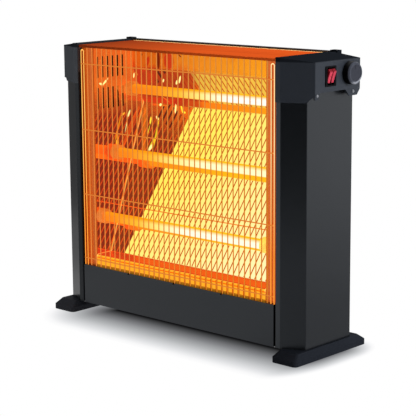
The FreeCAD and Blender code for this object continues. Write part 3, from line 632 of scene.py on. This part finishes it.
def wallSheet(setup, shared):
    look = Look("wallSheet")
    wave = look.noise(shared["waveScale"])
    cloud = look.noise(setup["cloudScale"])
    x, y, z = look.place()
    flange = between(y, *setup["flangeFrom"])
    satin = between(z, *setup["satinFrom"]).atLeast(flange)
    colour = look.mix(satin, setup["tint"], setup["satin"])
    colour = look.mix(between(cloud, *setup["redFrom"]) * setup["redShare"], colour, shared["red"])
    # painted glow on the flanges, dimmer on the left
    flangeGlow = look.mix(between(x, *setup["leftToRight"]), setup["flangeLeftGlow"], setup["flangeGlow"])
    glow = look.mix(satin, shared["paintedGlow"], setup["satinGlow"])
    glow = look.mix(flange, glow, flangeGlow)
    glow = look.mix(spots(y, z, setup["paintedGlints"]), glow, shared["paintedGlint"])
    hidden = between(x.size(), *setup["outsideFrom"]).atLeast(behindSheet(y, z, foldSetup))
    rear = hidden * between(y, *setup["behindFlange"])
    rough = satin * shared["satinRough"] + rear * setup["rearRough"]
    return look.surface(
        Base_Color=look.mix(rear, look.mix(flange, colour, setup["flange"]), shared["rear"]),
        Metallic=1 - satin * shared["satinDull"],
        Roughness=wave * setup["wave"] + shared["gloss"] + rough,
        Emission_Color=look.mix(rear, glow, shared["dark"]),
        Emission_Strength=1.0,
    )


dress(reflectorSheet(sheetSetup, mirrorSetup), "back_reflector")
dress(wallSheet(wallSetup, mirrorSetup), "left_reflector_wall", "right_reflector_wall")


# top plate: its orange, deeper at the left and brighter at the right, is a painted glow, with faint
# lengthways streaks and a pale rear hem
topSetup = {
    # painted glow: deeper orange at the left, brighter at the right
    "left": tone(142, 56, 24),
    "right": tone(208, 82, 28),
    "leftToRight": (-0.24, 0.05),
    "streak": tone(150, 44, 14),
    "streakStretch": (3.0, 160.0, 1.0),
    "streakFrom": (0.5, 0.75),
    "streakShare": 0.35,
    "hem": tone(250, 196, 128),
    "hemFrom": (0.0640, 0.0655),
    "gloss": 0.7,
}


def topSheet(setup):
    look = Look("topSheet")
    x, y, _ = look.place()
    streak = between(look.noise(1.0, stretch=setup["streakStretch"]), *setup["streakFrom"])
    colour = look.mix(between(x, *setup["leftToRight"]), setup["left"], setup["right"])
    colour = look.mix(streak * setup["streakShare"], colour, setup["streak"])
    return look.surface(
        Base_Color=look.mix(between(y, *setup["hemFrom"]), colour, setup["hem"]),
        Roughness=setup["gloss"],
        Specular_IOR_Level=0.0,
    )


dress(topSheet(topSetup), "top_plate")


# tubes glow hardest towards their right ends and along their front, where the white line is a painted
# highlight
glowSetup = {
    "core": ((0.0, tone(242, 112, 18)), (0.2, tone(247, 134, 22)), (0.34, tone(252, 184, 48)),
             (0.46, tone(255, 232, 128))),
    "white": {"upper": tone(255, 255, 240), "middle": tone(255, 250, 196), "lower": tone(255, 253, 224)},
    "whiteFrom": 0.62,
    "shift": {"upper": 0.0, "middle": 0.07, "lower": 0.08},
    "rim": ((0.0, tone(246, 136, 24)), (0.3, tone(248, 154, 14)), (0.6, tone(254, 188, 20))),
    "lean": (-0.966, -0.259),
    "leanFrom": (0.25, 0.9),
    "leanFall": 1.2,
    "strength": 1.08,
    "body": (0.06, 0.03, 0.01, 1.0),
    "gloss": 0.3,
}


def glowingTube(tube, setup):
    look = Look(tube + "TubeGlow")
    low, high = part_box(tube + "_quartz_tube")
    centre = (low + high) / 2
    radius = (high.z - low.z) / 2
    x, y, z = look.place()
    leanY, leanZ = setup["lean"]
    lean = ((y - centre.y) * leanY + (z - centre.z) * leanZ) / radius
    # painted highlight: the glow is whitest along the front of the tube
    front = between(lean, *setup["leanFrom"]).power(setup["leanFall"])
    along = (x - low.x) / (high.x - low.x) + setup["shift"][tube]
    core = look.ramp(along, *setup["core"], (setup["whiteFrom"], setup["white"][tube]))
    rim = look.ramp(along, *setup["rim"])
    return look.surface(
        Base_Color=setup["body"],
        Roughness=setup["gloss"],
        Specular_IOR_Level=0.0,
        Emission_Color=look.mix(front, rim, core),
        Emission_Strength=setup["strength"],
    )


for tube in ("upper", "middle", "lower"):
    dress(glowingTube(tube, glowSetup), tube + "_quartz_tube")
# the upper facet mirrors the guard, not the tube in front of it
for name in ("upper_quartz_tube", "upper_heating_coil"):
    nodes[name].visible_glossy = False


# plated steel and brass, duller where the plating is cloudy
platingSetup = {
    "steel": tone(170, 170, 172),
    "screw": tone(190, 193, 200),
    "brass": tone(190, 150, 70),
    "cloudScale": 140.0,
    "cloudDetail": 3.0,
    "cloudFrom": (0.4, 0.7),
    "dull": 0.74,
    "dullShare": 0.5,
    "gloss": 0.22,
    "glossSpread": 0.16,
}


def platedMetal(name, colour, setup):
    look = Look(name)
    cloud = look.noise(setup["cloudScale"], setup["cloudDetail"])
    cloudy = between(cloud, *setup["cloudFrom"]) * setup["dullShare"]
    return look.surface(
        Base_Color=look.mix(cloudy, colour, dimmed(colour, setup["dull"])),
        Metallic=1.0,
        Roughness=cloud * setup["glossSpread"] + setup["gloss"],
    )


steel = platedMetal("zincSteel", platingSetup["steel"], platingSetup)
screwSteel = platedMetal("screwSteel", platingSetup["screw"], platingSetup)
brass = platedMetal("brassParts", platingSetup["brass"], platingSetup)
dress(steel, "base_plate", "ceramic_clips", "thermostat_shaft")
dress(screwSteel, "cap_screws", "foot_screws", "rear_panel_screws", "wall_screws")
dress(brass, "tube_terminals", "left_bus_bar", "terminal_block")


# pieces on the tubes: rough bodies with uneven glow, as body, glow and its strength; the coils glow with
# their own heat, the ceramics' glow is painted light
hotSetup = {
    # painted glow on the ceramic ends of the tubes
    "tubeCeramic": (tone(150, 90, 40), (1.0, 0.23, 0.025, 1.0), 0.8),
    "paintedGlowCeramic": (tone(236, 170, 110), (1.0, 0.62, 0.06, 1.0), 1.08),
    "coilWire": (tone(120, 90, 70), (1.0, 0.35, 0.05, 1.0), 2.0),
    "speckScale": 900.0,
    "speckStrength": 0.3,
    "speckDepth": 0.06 * mm,
    "speckShare": 0.5,
    "speckShade": 0.7,
    "heatScale": 70.0,
    "heatFrom": (0.35, 0.65),
    "cool": 0.72,
    "gloss": 0.5,
    "glossSpread": 0.2,
}


def hotBody(name, setup):
    look = Look(name)
    body, glow, strength = setup[name]
    speck = look.noise(setup["speckScale"])
    unevenGlow = between(look.noise(setup["heatScale"]), *setup["heatFrom"])
    return look.surface(
        Base_Color=look.mix(speck * setup["speckShare"], body, dimmed(body, setup["speckShade"])),
        Roughness=speck * setup["glossSpread"] + setup["gloss"],
        Emission_Color=look.mix(unevenGlow, dimmed(glow, setup["cool"]), glow),
        Emission_Strength=strength,
        Normal=look.bump(speck, setup["speckStrength"], setup["speckDepth"]),
    )


dress(hotBody("tubeCeramic", hotSetup), "left_tube_ceramics")
dress(hotBody("paintedGlowCeramic", hotSetup), "right_tube_ceramics")
dress(hotBody("coilWire", hotSetup), "upper_heating_coil", "middle_heating_coil", "lower_heating_coil")
print("finishes on")


# a node tree that makes one repeating piece
class Maker:
    def __init__(self, name, sizes):
        self.tree = bpy.data.node_groups.new(name, "GeometryNodeTree")
        self.sizes = sizes
        self.sockets = {}
        for key, value in sizes.items():
            kind = "NodeSocketInt" if isinstance(value, int) else "NodeSocketFloat"
            socket = self.tree.interface.new_socket(key, in_out="INPUT", socket_type=kind)
            self.sockets[key] = socket.identifier
        self.tree.interface.new_socket("Geometry", in_out="OUTPUT", socket_type="NodeSocketGeometry")
        self.inputs = self.tree.nodes.new("NodeGroupInput")

    def size(self, key):
        return self.inputs.outputs[key]

    def add(self, kind, settings=None, sockets=None, out=0):
        node = self.tree.nodes.new(kind)
        for key, value in (settings or {}).items():
            setattr(node, key, value)
        for key, value in (sockets or {}).items():
            if isinstance(value, bpy.types.NodeSocket):
                self.tree.links.new(value, node.inputs[key])
            elif isinstance(value, tuple) and any(isinstance(v, bpy.types.NodeSocket) for v in value):
                self.tree.links.new(self.point(*value), node.inputs[key])
            else:
                node.inputs[key].default_value = value
        return node.outputs[out]

    def point(self, x, y, z):
        return self.add("ShaderNodeCombineXYZ", sockets={0: x, 1: y, 2: z})

    def sums(self, operation, first, second=0.0):
        return self.add("ShaderNodeMath", {"operation": operation}, {0: first, 1: second})

    def join(self, parts):
        node = self.tree.nodes.new("GeometryNodeJoinGeometry")
        for part in parts:
            self.tree.links.new(part, node.inputs[0])
        return node.outputs[0]

    def move(self, piece, shift):
        return self.add("GeometryNodeTransform", sockets={"Geometry": piece, "Translation": shift})

    def wireAlong(self, curve, radius, sides):
        ring = self.add("GeometryNodeCurvePrimitiveCircle", sockets={"Resolution": sides, "Radius": radius})
        sockets = {"Curve": curve, "Profile Curve": ring, "Fill Caps": True}
        return self.add("GeometryNodeCurveToMesh", sockets=sockets)

    def straight(self, start, end):
        return self.add("GeometryNodeCurvePrimitiveLine", sockets={"Start": start, "End": end})

    def row(self, count, start, step):
        sockets = {"Count": count, "Start Location": start, "Offset": step}
        return self.add("GeometryNodeMeshLine", {"mode": "OFFSET"}, sockets)

    def onto(self, points, piece, turn=(0.0, 0.0, 0.0)):
        sockets = {"Points": points, "Instance": piece, "Rotation": turn}
        return self.add("GeometryNodeInstanceOnPoints", sockets=sockets)

    def cylinder(self, sides, radius, depth):
        sockets = {"Vertices": sides, "Radius": radius, "Depth": depth}
        return self.add("GeometryNodeMeshCylinder", sockets=sockets)

    def finish(self, geometry, looks, name, smooth=True):
        real = self.add("GeometryNodeRealizeInstances", sockets={0: geometry})
        real = self.add("GeometryNodeSetShadeSmooth", sockets={0: real, "Shade Smooth": smooth})
        for look, part in looks:
            sockets = {0: real, "Selection": part, "Material": look.material}
            real = self.add("GeometryNodeSetMaterial", sockets=sockets)
        output = self.tree.nodes.new("NodeGroupOutput")
        self.tree.links.new(real, output.inputs[0])
        host = bpy.data.objects.new(name + "Host", bpy.data.meshes.new(name + "Host"))
        bpy.context.scene.collection.objects.link(host)
        modifier = host.modifiers.new(name, "NODES")
        modifier.node_group = self.tree
        for key, value in self.sizes.items():
            modifier[self.sockets[key]] = value
        evaluated = host.evaluated_get(bpy.context.evaluated_depsgraph_get())
        mesh = bpy.data.meshes.new_from_object(evaluated)
        host.modifiers.remove(modifier)
        bpy.data.objects.remove(host)
        mesh.name = name
        piece = bpy.data.objects.new(name, mesh)
        bpy.context.scene.collection.objects.link(piece)
        return piece


# welded guard: uprights, cross wires, hooks and a hairpin post at each end
guardLow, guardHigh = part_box("wire_guard")
guardSetup = {
    "uprights": 35,
    "pitch": 13.0 * mm,
    "wireRadius": 1.0 * mm,
    "wireSides": 8,
    "wireSetback": 4.0 * mm,
    "hooks": 3,
    "hookPitch": 117.0 * mm,
    "hookDrop": 7.0 * mm,
    "crosses": 4,
    "crossRise": 13.5 * mm,
    "crossPitch": 124.5 * mm,
    "crossRadius": 1.1 * mm,
    "weldDepth": 0.3 * mm,
    "posts": 2,
    "postInset": 1.5 * mm,
    "postRadius": 1.5 * mm,
    "postSides": 10,
    "postGap": 7.0 * mm,
    "postDrop": 11.5 * mm,
    "postsBeyond": 225.5 * mm,
    "bendPoints": 13,
    "left": guardLow.x,
    "right": guardHigh.x,
    "hooksLow": guardLow.z,
    "high": guardHigh.z,
    "front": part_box("front_lower_panel")[0].y,
}
# guard wire: its orange and its glow on the outside are painted light, stronger at the left and towards the
# top; towards the tubes it is darker and dimmer, painted shade
wireSetup = {
    "body": tone(178, 112, 40),
    "back": tone(150, 74, 20),
    "outside": (0.46, 0.15, 0.01, 1.0),
    "outsideTop": (0.48, 0.22, 0.045, 1.0),
    "outsideLeft": (0.58, 0.18, 0.04, 1.0),
    "cross": (0.36, 0.09, 0.014, 1.0),
    "inside": (0.24, 0.065, 0.004, 1.0),
    "outsideFrom": (-0.0736, -0.0741),
    "crossFrom": (-0.0750, -0.0753),
    "topFrom": (0.3, 0.46),
    "leftToRight": (-0.2, 0.08),
    "gloss": 0.3,
}
# side posts: a painted highlight as a pale line along each leg and over the bend, paler on the right post
# and oranger low down, on a dim painted glow
postSetup = {
    "body": tone(206, 120, 50),
    "dark": (0.2, 0.03, 0.002, 1.0),
    "lowGlow": (0.95, 0.34, 0.03, 1.0),
    "leftGlow": (1.0, 0.62, 0.14, 1.0),
    "rightGlow": (1.0, 0.84, 0.42, 1.0),
    "lowFrom": (0.18, 0.38),
    "leftToRight": (-0.1, 0.1),
    "highlightLine": (1.1 * mm, 0.7 * mm),
    "gloss": 0.3,
}


def guardWire(setup):
    look = Look("guardWire")
    x, y, z = look.place()
    outside = between(y, *setup["outsideFrom"])
    right = look.mix(between(z, *setup["topFrom"]), setup["outside"], setup["outsideTop"])
    glow = look.mix(between(x, *setup["leftToRight"]), setup["outsideLeft"], right)
    glow = look.mix(between(y, *setup["crossFrom"]), glow, setup["cross"])
    return look.surface(
        Base_Color=look.mix(outside, setup["back"], setup["body"]),
        Metallic=1.0,
        Roughness=setup["gloss"],
        Emission_Color=look.mix(outside, setup["inside"], glow),
        Emission_Strength=1.0,
    )


def paleWire(setup, sizes):
    look = Look("postWire")
    x, _, z = look.place()
    bend = sizes["postGap"] / 2
    across = x.size() - (sizes["right"] - sizes["postInset"] - bend)
    rise = (z - (sizes["high"] - sizes["postDrop"])).atLeast(0.0)
    highlightLine = between((reach(across, rise) - bend).size(), *setup["highlightLine"])
    bright = look.mix(between(x, *setup["leftToRight"]), setup["leftGlow"], setup["rightGlow"])
    bright = look.mix(between(z, *setup["lowFrom"]), setup["lowGlow"], bright)
    return look.surface(
        Base_Color=setup["body"],
        Metallic=1.0,
        Roughness=setup["gloss"],
        Emission_Color=look.mix(highlightLine, setup["dark"], bright),
        Emission_Strength=1.0,
    )


def weldedGuard(setup, look, postLook):
    m = Maker("weldedGuard", setup)
    origin = (0.0, 0.0, 0.0)
    low = m.sums("ADD", m.size("hooksLow"), m.size("hookDrop"))
    height = m.sums("SUBTRACT", m.size("high"), low)
    wireY = m.sums("ADD", m.size("front"), m.size("wireSetback"))
    radius, sides = m.size("wireRadius"), m.size("wireSides")

    span = m.sums("MULTIPLY", m.sums("SUBTRACT", m.size("uprights"), 1.0), m.size("pitch"))
    first = m.sums("MULTIPLY", span, -0.5)
    upright = m.wireAlong(m.straight(origin, (0.0, 0.0, height)), radius, sides)
    uprightRow = m.row(m.size("uprights"), (first, wireY, low), (m.size("pitch"), 0.0, 0.0))

    hookLow = m.sums("MULTIPLY", m.size("hookDrop"), -1.0)
    hookFirst = m.sums("MULTIPLY", m.size("hookPitch"), -1.0)
    hook = m.wireAlong(m.straight((0.0, 0.0, hookLow), origin), radius, sides)
    hookRow = m.row(m.size("hooks"), (hookFirst, wireY, low), (m.size("hookPitch"), 0.0, 0.0))

    crossLeft = m.sums("ADD", m.size("left"), m.size("postInset"))
    crossRight = m.sums("SUBTRACT", m.size("right"), m.size("postInset"))
    welded = m.sums("ADD", radius, m.size("crossRadius"))
    crossY = m.sums("ADD", m.sums("SUBTRACT", wireY, welded), m.size("weldDepth"))
    crossLow = m.sums("ADD", low, m.size("crossRise"))
    crossLine = m.straight((crossLeft, 0.0, 0.0), (crossRight, 0.0, 0.0))
    cross = m.wireAlong(crossLine, m.size("crossRadius"), sides)
    crossRow = m.row(m.size("crosses"), (0.0, crossY, crossLow), (0.0, 0.0, m.size("crossPitch")))

    bend = m.sums("MULTIPLY", m.size("postGap"), 0.5)
    bendLeft = m.sums("MULTIPLY", bend, -1.0)
    postHeight = m.sums("SUBTRACT", height, m.size("postDrop"))
    arc = m.add(
        "GeometryNodeCurveArc",
        {"mode": "RADIUS"},
        {"Resolution": m.size("bendPoints"), "Radius": bend, "Start Angle": 0.0, "Sweep Angle": math.pi},
    )
    raised = {"Translation": (0.0, 0.0, postHeight), "Rotation": (math.pi / 2, 0.0, 0.0)}
    arc = m.add("GeometryNodeTransform", sockets={"Geometry": arc, **raised})
    legs = [m.straight((x, 0.0, 0.0), (x, 0.0, postHeight)) for x in (bendLeft, bend)]
    wires = [m.wireAlong(path, m.size("postRadius"), m.size("postSides")) for path in (arc, *legs)]
    leftX = m.sums("ADD", crossLeft, bend)
    apart = m.sums("SUBTRACT", m.sums("SUBTRACT", crossRight, bend), leftX)
    postRow = m.row(m.size("posts"), (leftX, wireY, low), (apart, 0.0, 0.0))

    split = m.tree.nodes.new("ShaderNodeSeparateXYZ")
    m.tree.links.new(m.add("GeometryNodeInputPosition"), split.inputs[0])
    outward = m.sums("ABSOLUTE", split.outputs["X"])
    sockets = {0: outward, 1: m.size("postsBeyond")}
    onPosts = m.add("FunctionNodeCompare", {"operation": "GREATER_THAN"}, sockets)
    rows = ((uprightRow, upright), (hookRow, hook), (crossRow, cross), (postRow, m.join(wires)))
    whole = m.join([m.onto(row, piece) for row, piece in rows])
    return m.finish(whole, [(look, True), (postLook, onPosts)], "weldedGuard")


guard = weldedGuard(guardSetup, guardWire(wireSetup), paleWire(postSetup, guardSetup))
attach(guard, "casing")
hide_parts("wire_guard")
print("guard:", len(guard.data.polygons), "faces")


# cap screws with a cross recess, their turn in radians
screwLow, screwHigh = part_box("cap_screws")
screwSetup = {
    "headRadius": 2.6 * mm,
    "headHeight": 2.0 * mm,
    "headSides": 20,
    "rimHeight": 1.1 * mm,
    "crownRadius": 1.8 * mm,
    "recessLength": 2.8 * mm,
    "recessWidth": 0.6 * mm,
    "recessDepth": 0.9 * mm,
    "shankRadius": 1.5 * mm,
    "shankLength": 19.5 * mm,
    "shankSides": 12,
    "screwsPerCap": 2,
    "turn": 0.4,
    "right": screwHigh.x,
    "front": screwLow.y,
    "rear": screwHigh.y,
    "level": (screwLow.z + screwHigh.z) / 2,
}


def capScrews(setup, look):
    m = Maker("capScrew", setup)
    sides, rimHeight = m.size("headSides"), m.size("rimHeight")
    rim = m.cylinder(sides, m.size("headRadius"), rimHeight)
    rim = m.move(rim, (0.0, 0.0, m.sums("MULTIPLY", rimHeight, 0.5)))
    crown = m.add(
        "GeometryNodeMeshCone",
        sockets={
            "Vertices": sides,
            "Radius Top": m.size("crownRadius"),
            "Radius Bottom": m.size("headRadius"),
            "Depth": m.sums("SUBTRACT", m.size("headHeight"), rimHeight),
        },
    )
    crown = m.move(crown, (0.0, 0.0, rimHeight))
    head = m.add("GeometryNodeMeshBoolean", {"operation": "UNION"}, {"Mesh 2": rim})
    m.tree.links.new(crown, head.node.inputs["Mesh 2"])

    length, width = m.size("recessLength"), m.size("recessWidth")
    deep = m.sums("MULTIPLY", m.size("recessDepth"), 2.0)
    bars = []
    for size in ((length, width, deep), (width, length, deep)):
        bar = m.add("GeometryNodeMeshCube", sockets={"Size": size})
        bars.append(m.move(bar, (0.0, 0.0, m.size("headHeight"))))
    cut = {"Mesh 1": head, "Mesh 2": bars[0]}
    head = m.add("GeometryNodeMeshBoolean", {"operation": "DIFFERENCE"}, cut)
    m.tree.links.new(bars[1], head.node.inputs["Mesh 2"])

    shank = m.cylinder(m.size("shankSides"), m.size("shankRadius"), m.size("shankLength"))
    shank = m.move(shank, (0.0, 0.0, m.sums("MULTIPLY", m.size("shankLength"), -0.5)))
    turned = {"Geometry": m.join([head, shank]), "Rotation": (0.0, 0.0, m.size("turn"))}
    screw = m.add("GeometryNodeTransform", sockets=turned)

    seat = m.sums("SUBTRACT", m.size("right"), m.size("headHeight"))
    firstY = m.sums("ADD", m.size("front"), m.size("headRadius"))
    lastY = m.sums("SUBTRACT", m.size("rear"), m.size("headRadius"))
    apartY = m.sums("SUBTRACT", lastY, firstY)
    rows = []
    for side in (1.0, -1.0):
        start = (m.sums("MULTIPLY", seat, side), firstY, m.size("level"))
        row = m.row(m.size("screwsPerCap"), start, (0.0, apartY, 0.0))
        rows.append(m.onto(row, screw, (0.0, side * math.pi / 2, 0.0)))
    return m.finish(m.join(rows), [(look, True)], "capScrewHeads", False)


screws = capScrews(screwSetup, screwSteel)
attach(screws, "casing")
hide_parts("cap_screws")
print("cap screws:", len(screws.data.polygons), "faces")


# raised pointer in the knob's dished face, narrower at its top by the taper
pointerSetup = {
    "length": 9.0 * mm,
    "width": 1.4 * mm,
    "proud": 0.5 * mm,
    "sunk": 0.2 * mm,
    "inset": 4.6 * mm,
    "dish": 0.6 * mm,
    "taper": 0.7,
}


def knobPointer(setup, look):
    tip = knobHigh.z - setup["inset"]
    tail = tip - setup["length"]
    midY = (knobLow.y + knobHigh.y) / 2
    half = setup["width"] / 2
    face = knobHigh.x - setup["dish"]
    plan = [(-half, tail), (half, tail), (half, tip - half), (0.0, tip), (-half, tip - half)]
    corners = [(face - setup["sunk"], midY + y, z) for y, z in plan]
    corners += [(face + setup["proud"], midY + y * setup["taper"], z) for y, z in plan]
    count = len(plan)
    faces = [tuple(range(count, 2 * count)), tuple(reversed(range(count)))]
    faces += [(i, (i + 1) % count, (i + 1) % count + count, i + count) for i in range(count)]
    return meshPiece("knobPointer", corners, faces, look)


pointer = knobPointer(pointerSetup, knobPlastic)
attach(pointer, "knob")
print("knob pointer on")


# pale floor, white surround, soft lamps, and screens that only the shiny parts see
stageSetup = {
    "white": tone(255, 255, 255),
    "floorSize": 12.0,
    "floor": (0.88, 0.88, 0.88, 1.0),
    "footprint": (0.3, 0.1),
    "shadowFront": (-0.03, 0.155),
    "shadowLeft": (-0.2, 0.13),
    "shadowRight": (0.288, 0.061),
    "shadowRear": (0.03, 0.09),
    "shadow": ((0.0, tone(20, 20, 21)), (0.14, tone(84, 85, 87)), (0.3, tone(129, 130, 133)),
               (0.52, tone(178, 180, 182)), (0.76, tone(224, 225, 227)), (0.9, tone(248, 248, 249)),
               (1.0, tone(255, 255, 255))),
    "glossFade": (0.2, 2.0),
    "glossNear": 0.42,
    "glossPatch": ((-0.75, -0.5), (0.35, 0.1)),
    "glossPatchLevel": 0.42,
    "surround": 0.25,
    # place, aim, size and power
    "lamps": {
        "topLamp": ((0.1, 0.55, 2.2), (0.0, 0.0, 0.1), 0.9, 30.0),
        "sideLamp": ((2.6, 0.5, 0.8), (0.2, 0.0, 0.3), 1.0, 60.0),
        "frontLamp": ((-1.2, -2.4, 1.6), (0.0, 0.0, 0.3), 1.4, 8.0),
    },
    # arc in degrees, radius, heights and brightness
    "screens": {
        "darkScreen": ((-6.0, 75.0), 1.2, (0.02, 1.6), 0.0),
        "greyScreen": ((-115.0, -72.0), 1.2, (0.0, 0.9), 0.22),
    },
    "screenSteps": 12,
}


# the camera sees the floor's shadow as a ramp, shiny parts see a pale floor
def floorLook(setup):
    look = Look("paleFloor")
    paths = look.add("ShaderNodeLightPath").socket.node.outputs
    camera, gloss = (Value(look, paths[name]) for name in ("Is Camera Ray", "Is Glossy Ray"))
    x, y, _ = look.place()
    past = {}
    for side, axis, way in (("Front", y, -1), ("Left", x, -1), ("Right", x, 1), ("Rear", y, 1)):
        edge, width = setup["shadow" + side]
        past[side] = ((axis - edge) * (way / width)).atLeast(0.0)
    depth = past["Rear"]
    for first, second in (("Front", "Left"), ("Front", "Right"), ("Rear", "Right")):
        depth = depth.atLeast(reach(past[first], past[second]))
    shadow = look.ramp(depth.atMost(1.0), *setup["shadow"])
    seen = look.add("ShaderNodeEmission", sockets={"Color": shadow})

    halfX, halfY = setup["footprint"]
    gap = reach((x.size() - halfX).atLeast(0.0), (y.size() - halfY).atLeast(0.0))
    level = between(gap, *setup["glossFade"]) * (1 - setup["glossNear"]) + setup["glossNear"]
    rise, fall = setup["glossPatch"]
    patch = between(x, *rise) * between(x, *fall)
    level = (level + patch * setup["glossPatchLevel"]).atMost(1.0)
    mirrored = look.add("ShaderNodeEmission", sockets={"Color": setup["white"], "Strength": level})

    lit = look.add("ShaderNodeBsdfDiffuse", sockets={"Color": setup["floor"]})
    lit = look.add("ShaderNodeMixShader", sockets={0: camera, 1: lit, 2: seen})
    look.close(look.add("ShaderNodeMixShader", sockets={0: gloss, 1: lit, 2: mirrored}))
    return look


def setFloor(setup):
    half = setup["floorSize"] / 2
    corners = [(-half, -half, 0), (half, -half, 0), (half, half, 0), (-half, half, 0)]
    floor = meshPiece("paleFloor", corners, [(0, 1, 2, 3)], floorLook(setup))


# white to the camera and in mirrors, dimmer as a light
def setSurround(setup):
    world = bpy.data.worlds.new("whiteSurround")
    world.use_nodes = True
    tree = world.node_tree
    tree.nodes.clear()
    path = tree.nodes.new("ShaderNodeLightPath")
    shown = path.outputs["Is Camera Ray"]
    for ray in ("Is Glossy Ray", "Is Transmission Ray"):
        either = tree.nodes.new("ShaderNodeMath")
        either.operation = "MAXIMUM"
        tree.links.new(shown, either.inputs[0])
        tree.links.new(path.outputs[ray], either.inputs[1])
        shown = either.outputs[0]
    level = tree.nodes.new("ShaderNodeMapRange")
    level.inputs["To Min"].default_value = setup["surround"]
    level.inputs["To Max"].default_value = 1.0
    tree.links.new(shown, level.inputs["Value"])
    back = tree.nodes.new("ShaderNodeBackground")
    back.inputs["Color"].default_value = setup["white"]
    tree.links.new(level.outputs[0], back.inputs["Strength"])
    out = tree.nodes.new("ShaderNodeOutputWorld")
    tree.links.new(back.outputs[0], out.inputs[0])
    bpy.context.scene.world = world


def setLamps(setup):
    for name, (place, aim, size, power) in setup["lamps"].items():
        data = bpy.data.lights.new(name, "AREA")
        data.size = size
        data.energy = power
        lamp = bpy.data.objects.new(name, data)
        lamp.location = place
        lamp.rotation_euler = (Vector(aim) - Vector(place)).to_track_quat("-Z", "Y").to_euler()
        lamp.visible_glossy = False
        bpy.context.scene.collection.objects.link(lamp)


def setScreens(setup):
    steps = setup["screenSteps"]
    for name, (arc, radius, heights, level) in setup["screens"].items():
        corners = []
        for i in range(steps + 1):
            turn = math.radians(arc[0] + (arc[1] - arc[0]) * i / steps)
            corners += [(radius * math.sin(turn), -radius * math.cos(turn), z) for z in heights]
        faces = [(2 * i, 2 * i + 2, 2 * i + 3, 2 * i + 1) for i in range(steps)]
        look = Look(name)
        look.close(look.add("ShaderNodeEmission", sockets={"Color": setup["white"], "Strength": level}))
        screen = meshPiece(name, corners, faces, look)
        screen.visible_camera = False
        screen.visible_shadow = False
        screen.visible_diffuse = False
        screen.visible_transmission = False


setFloor(stageSetup)
setSurround(stageSetup)
setLamps(stageSetup)
setScreens(stageSetup)
print("stage lit")
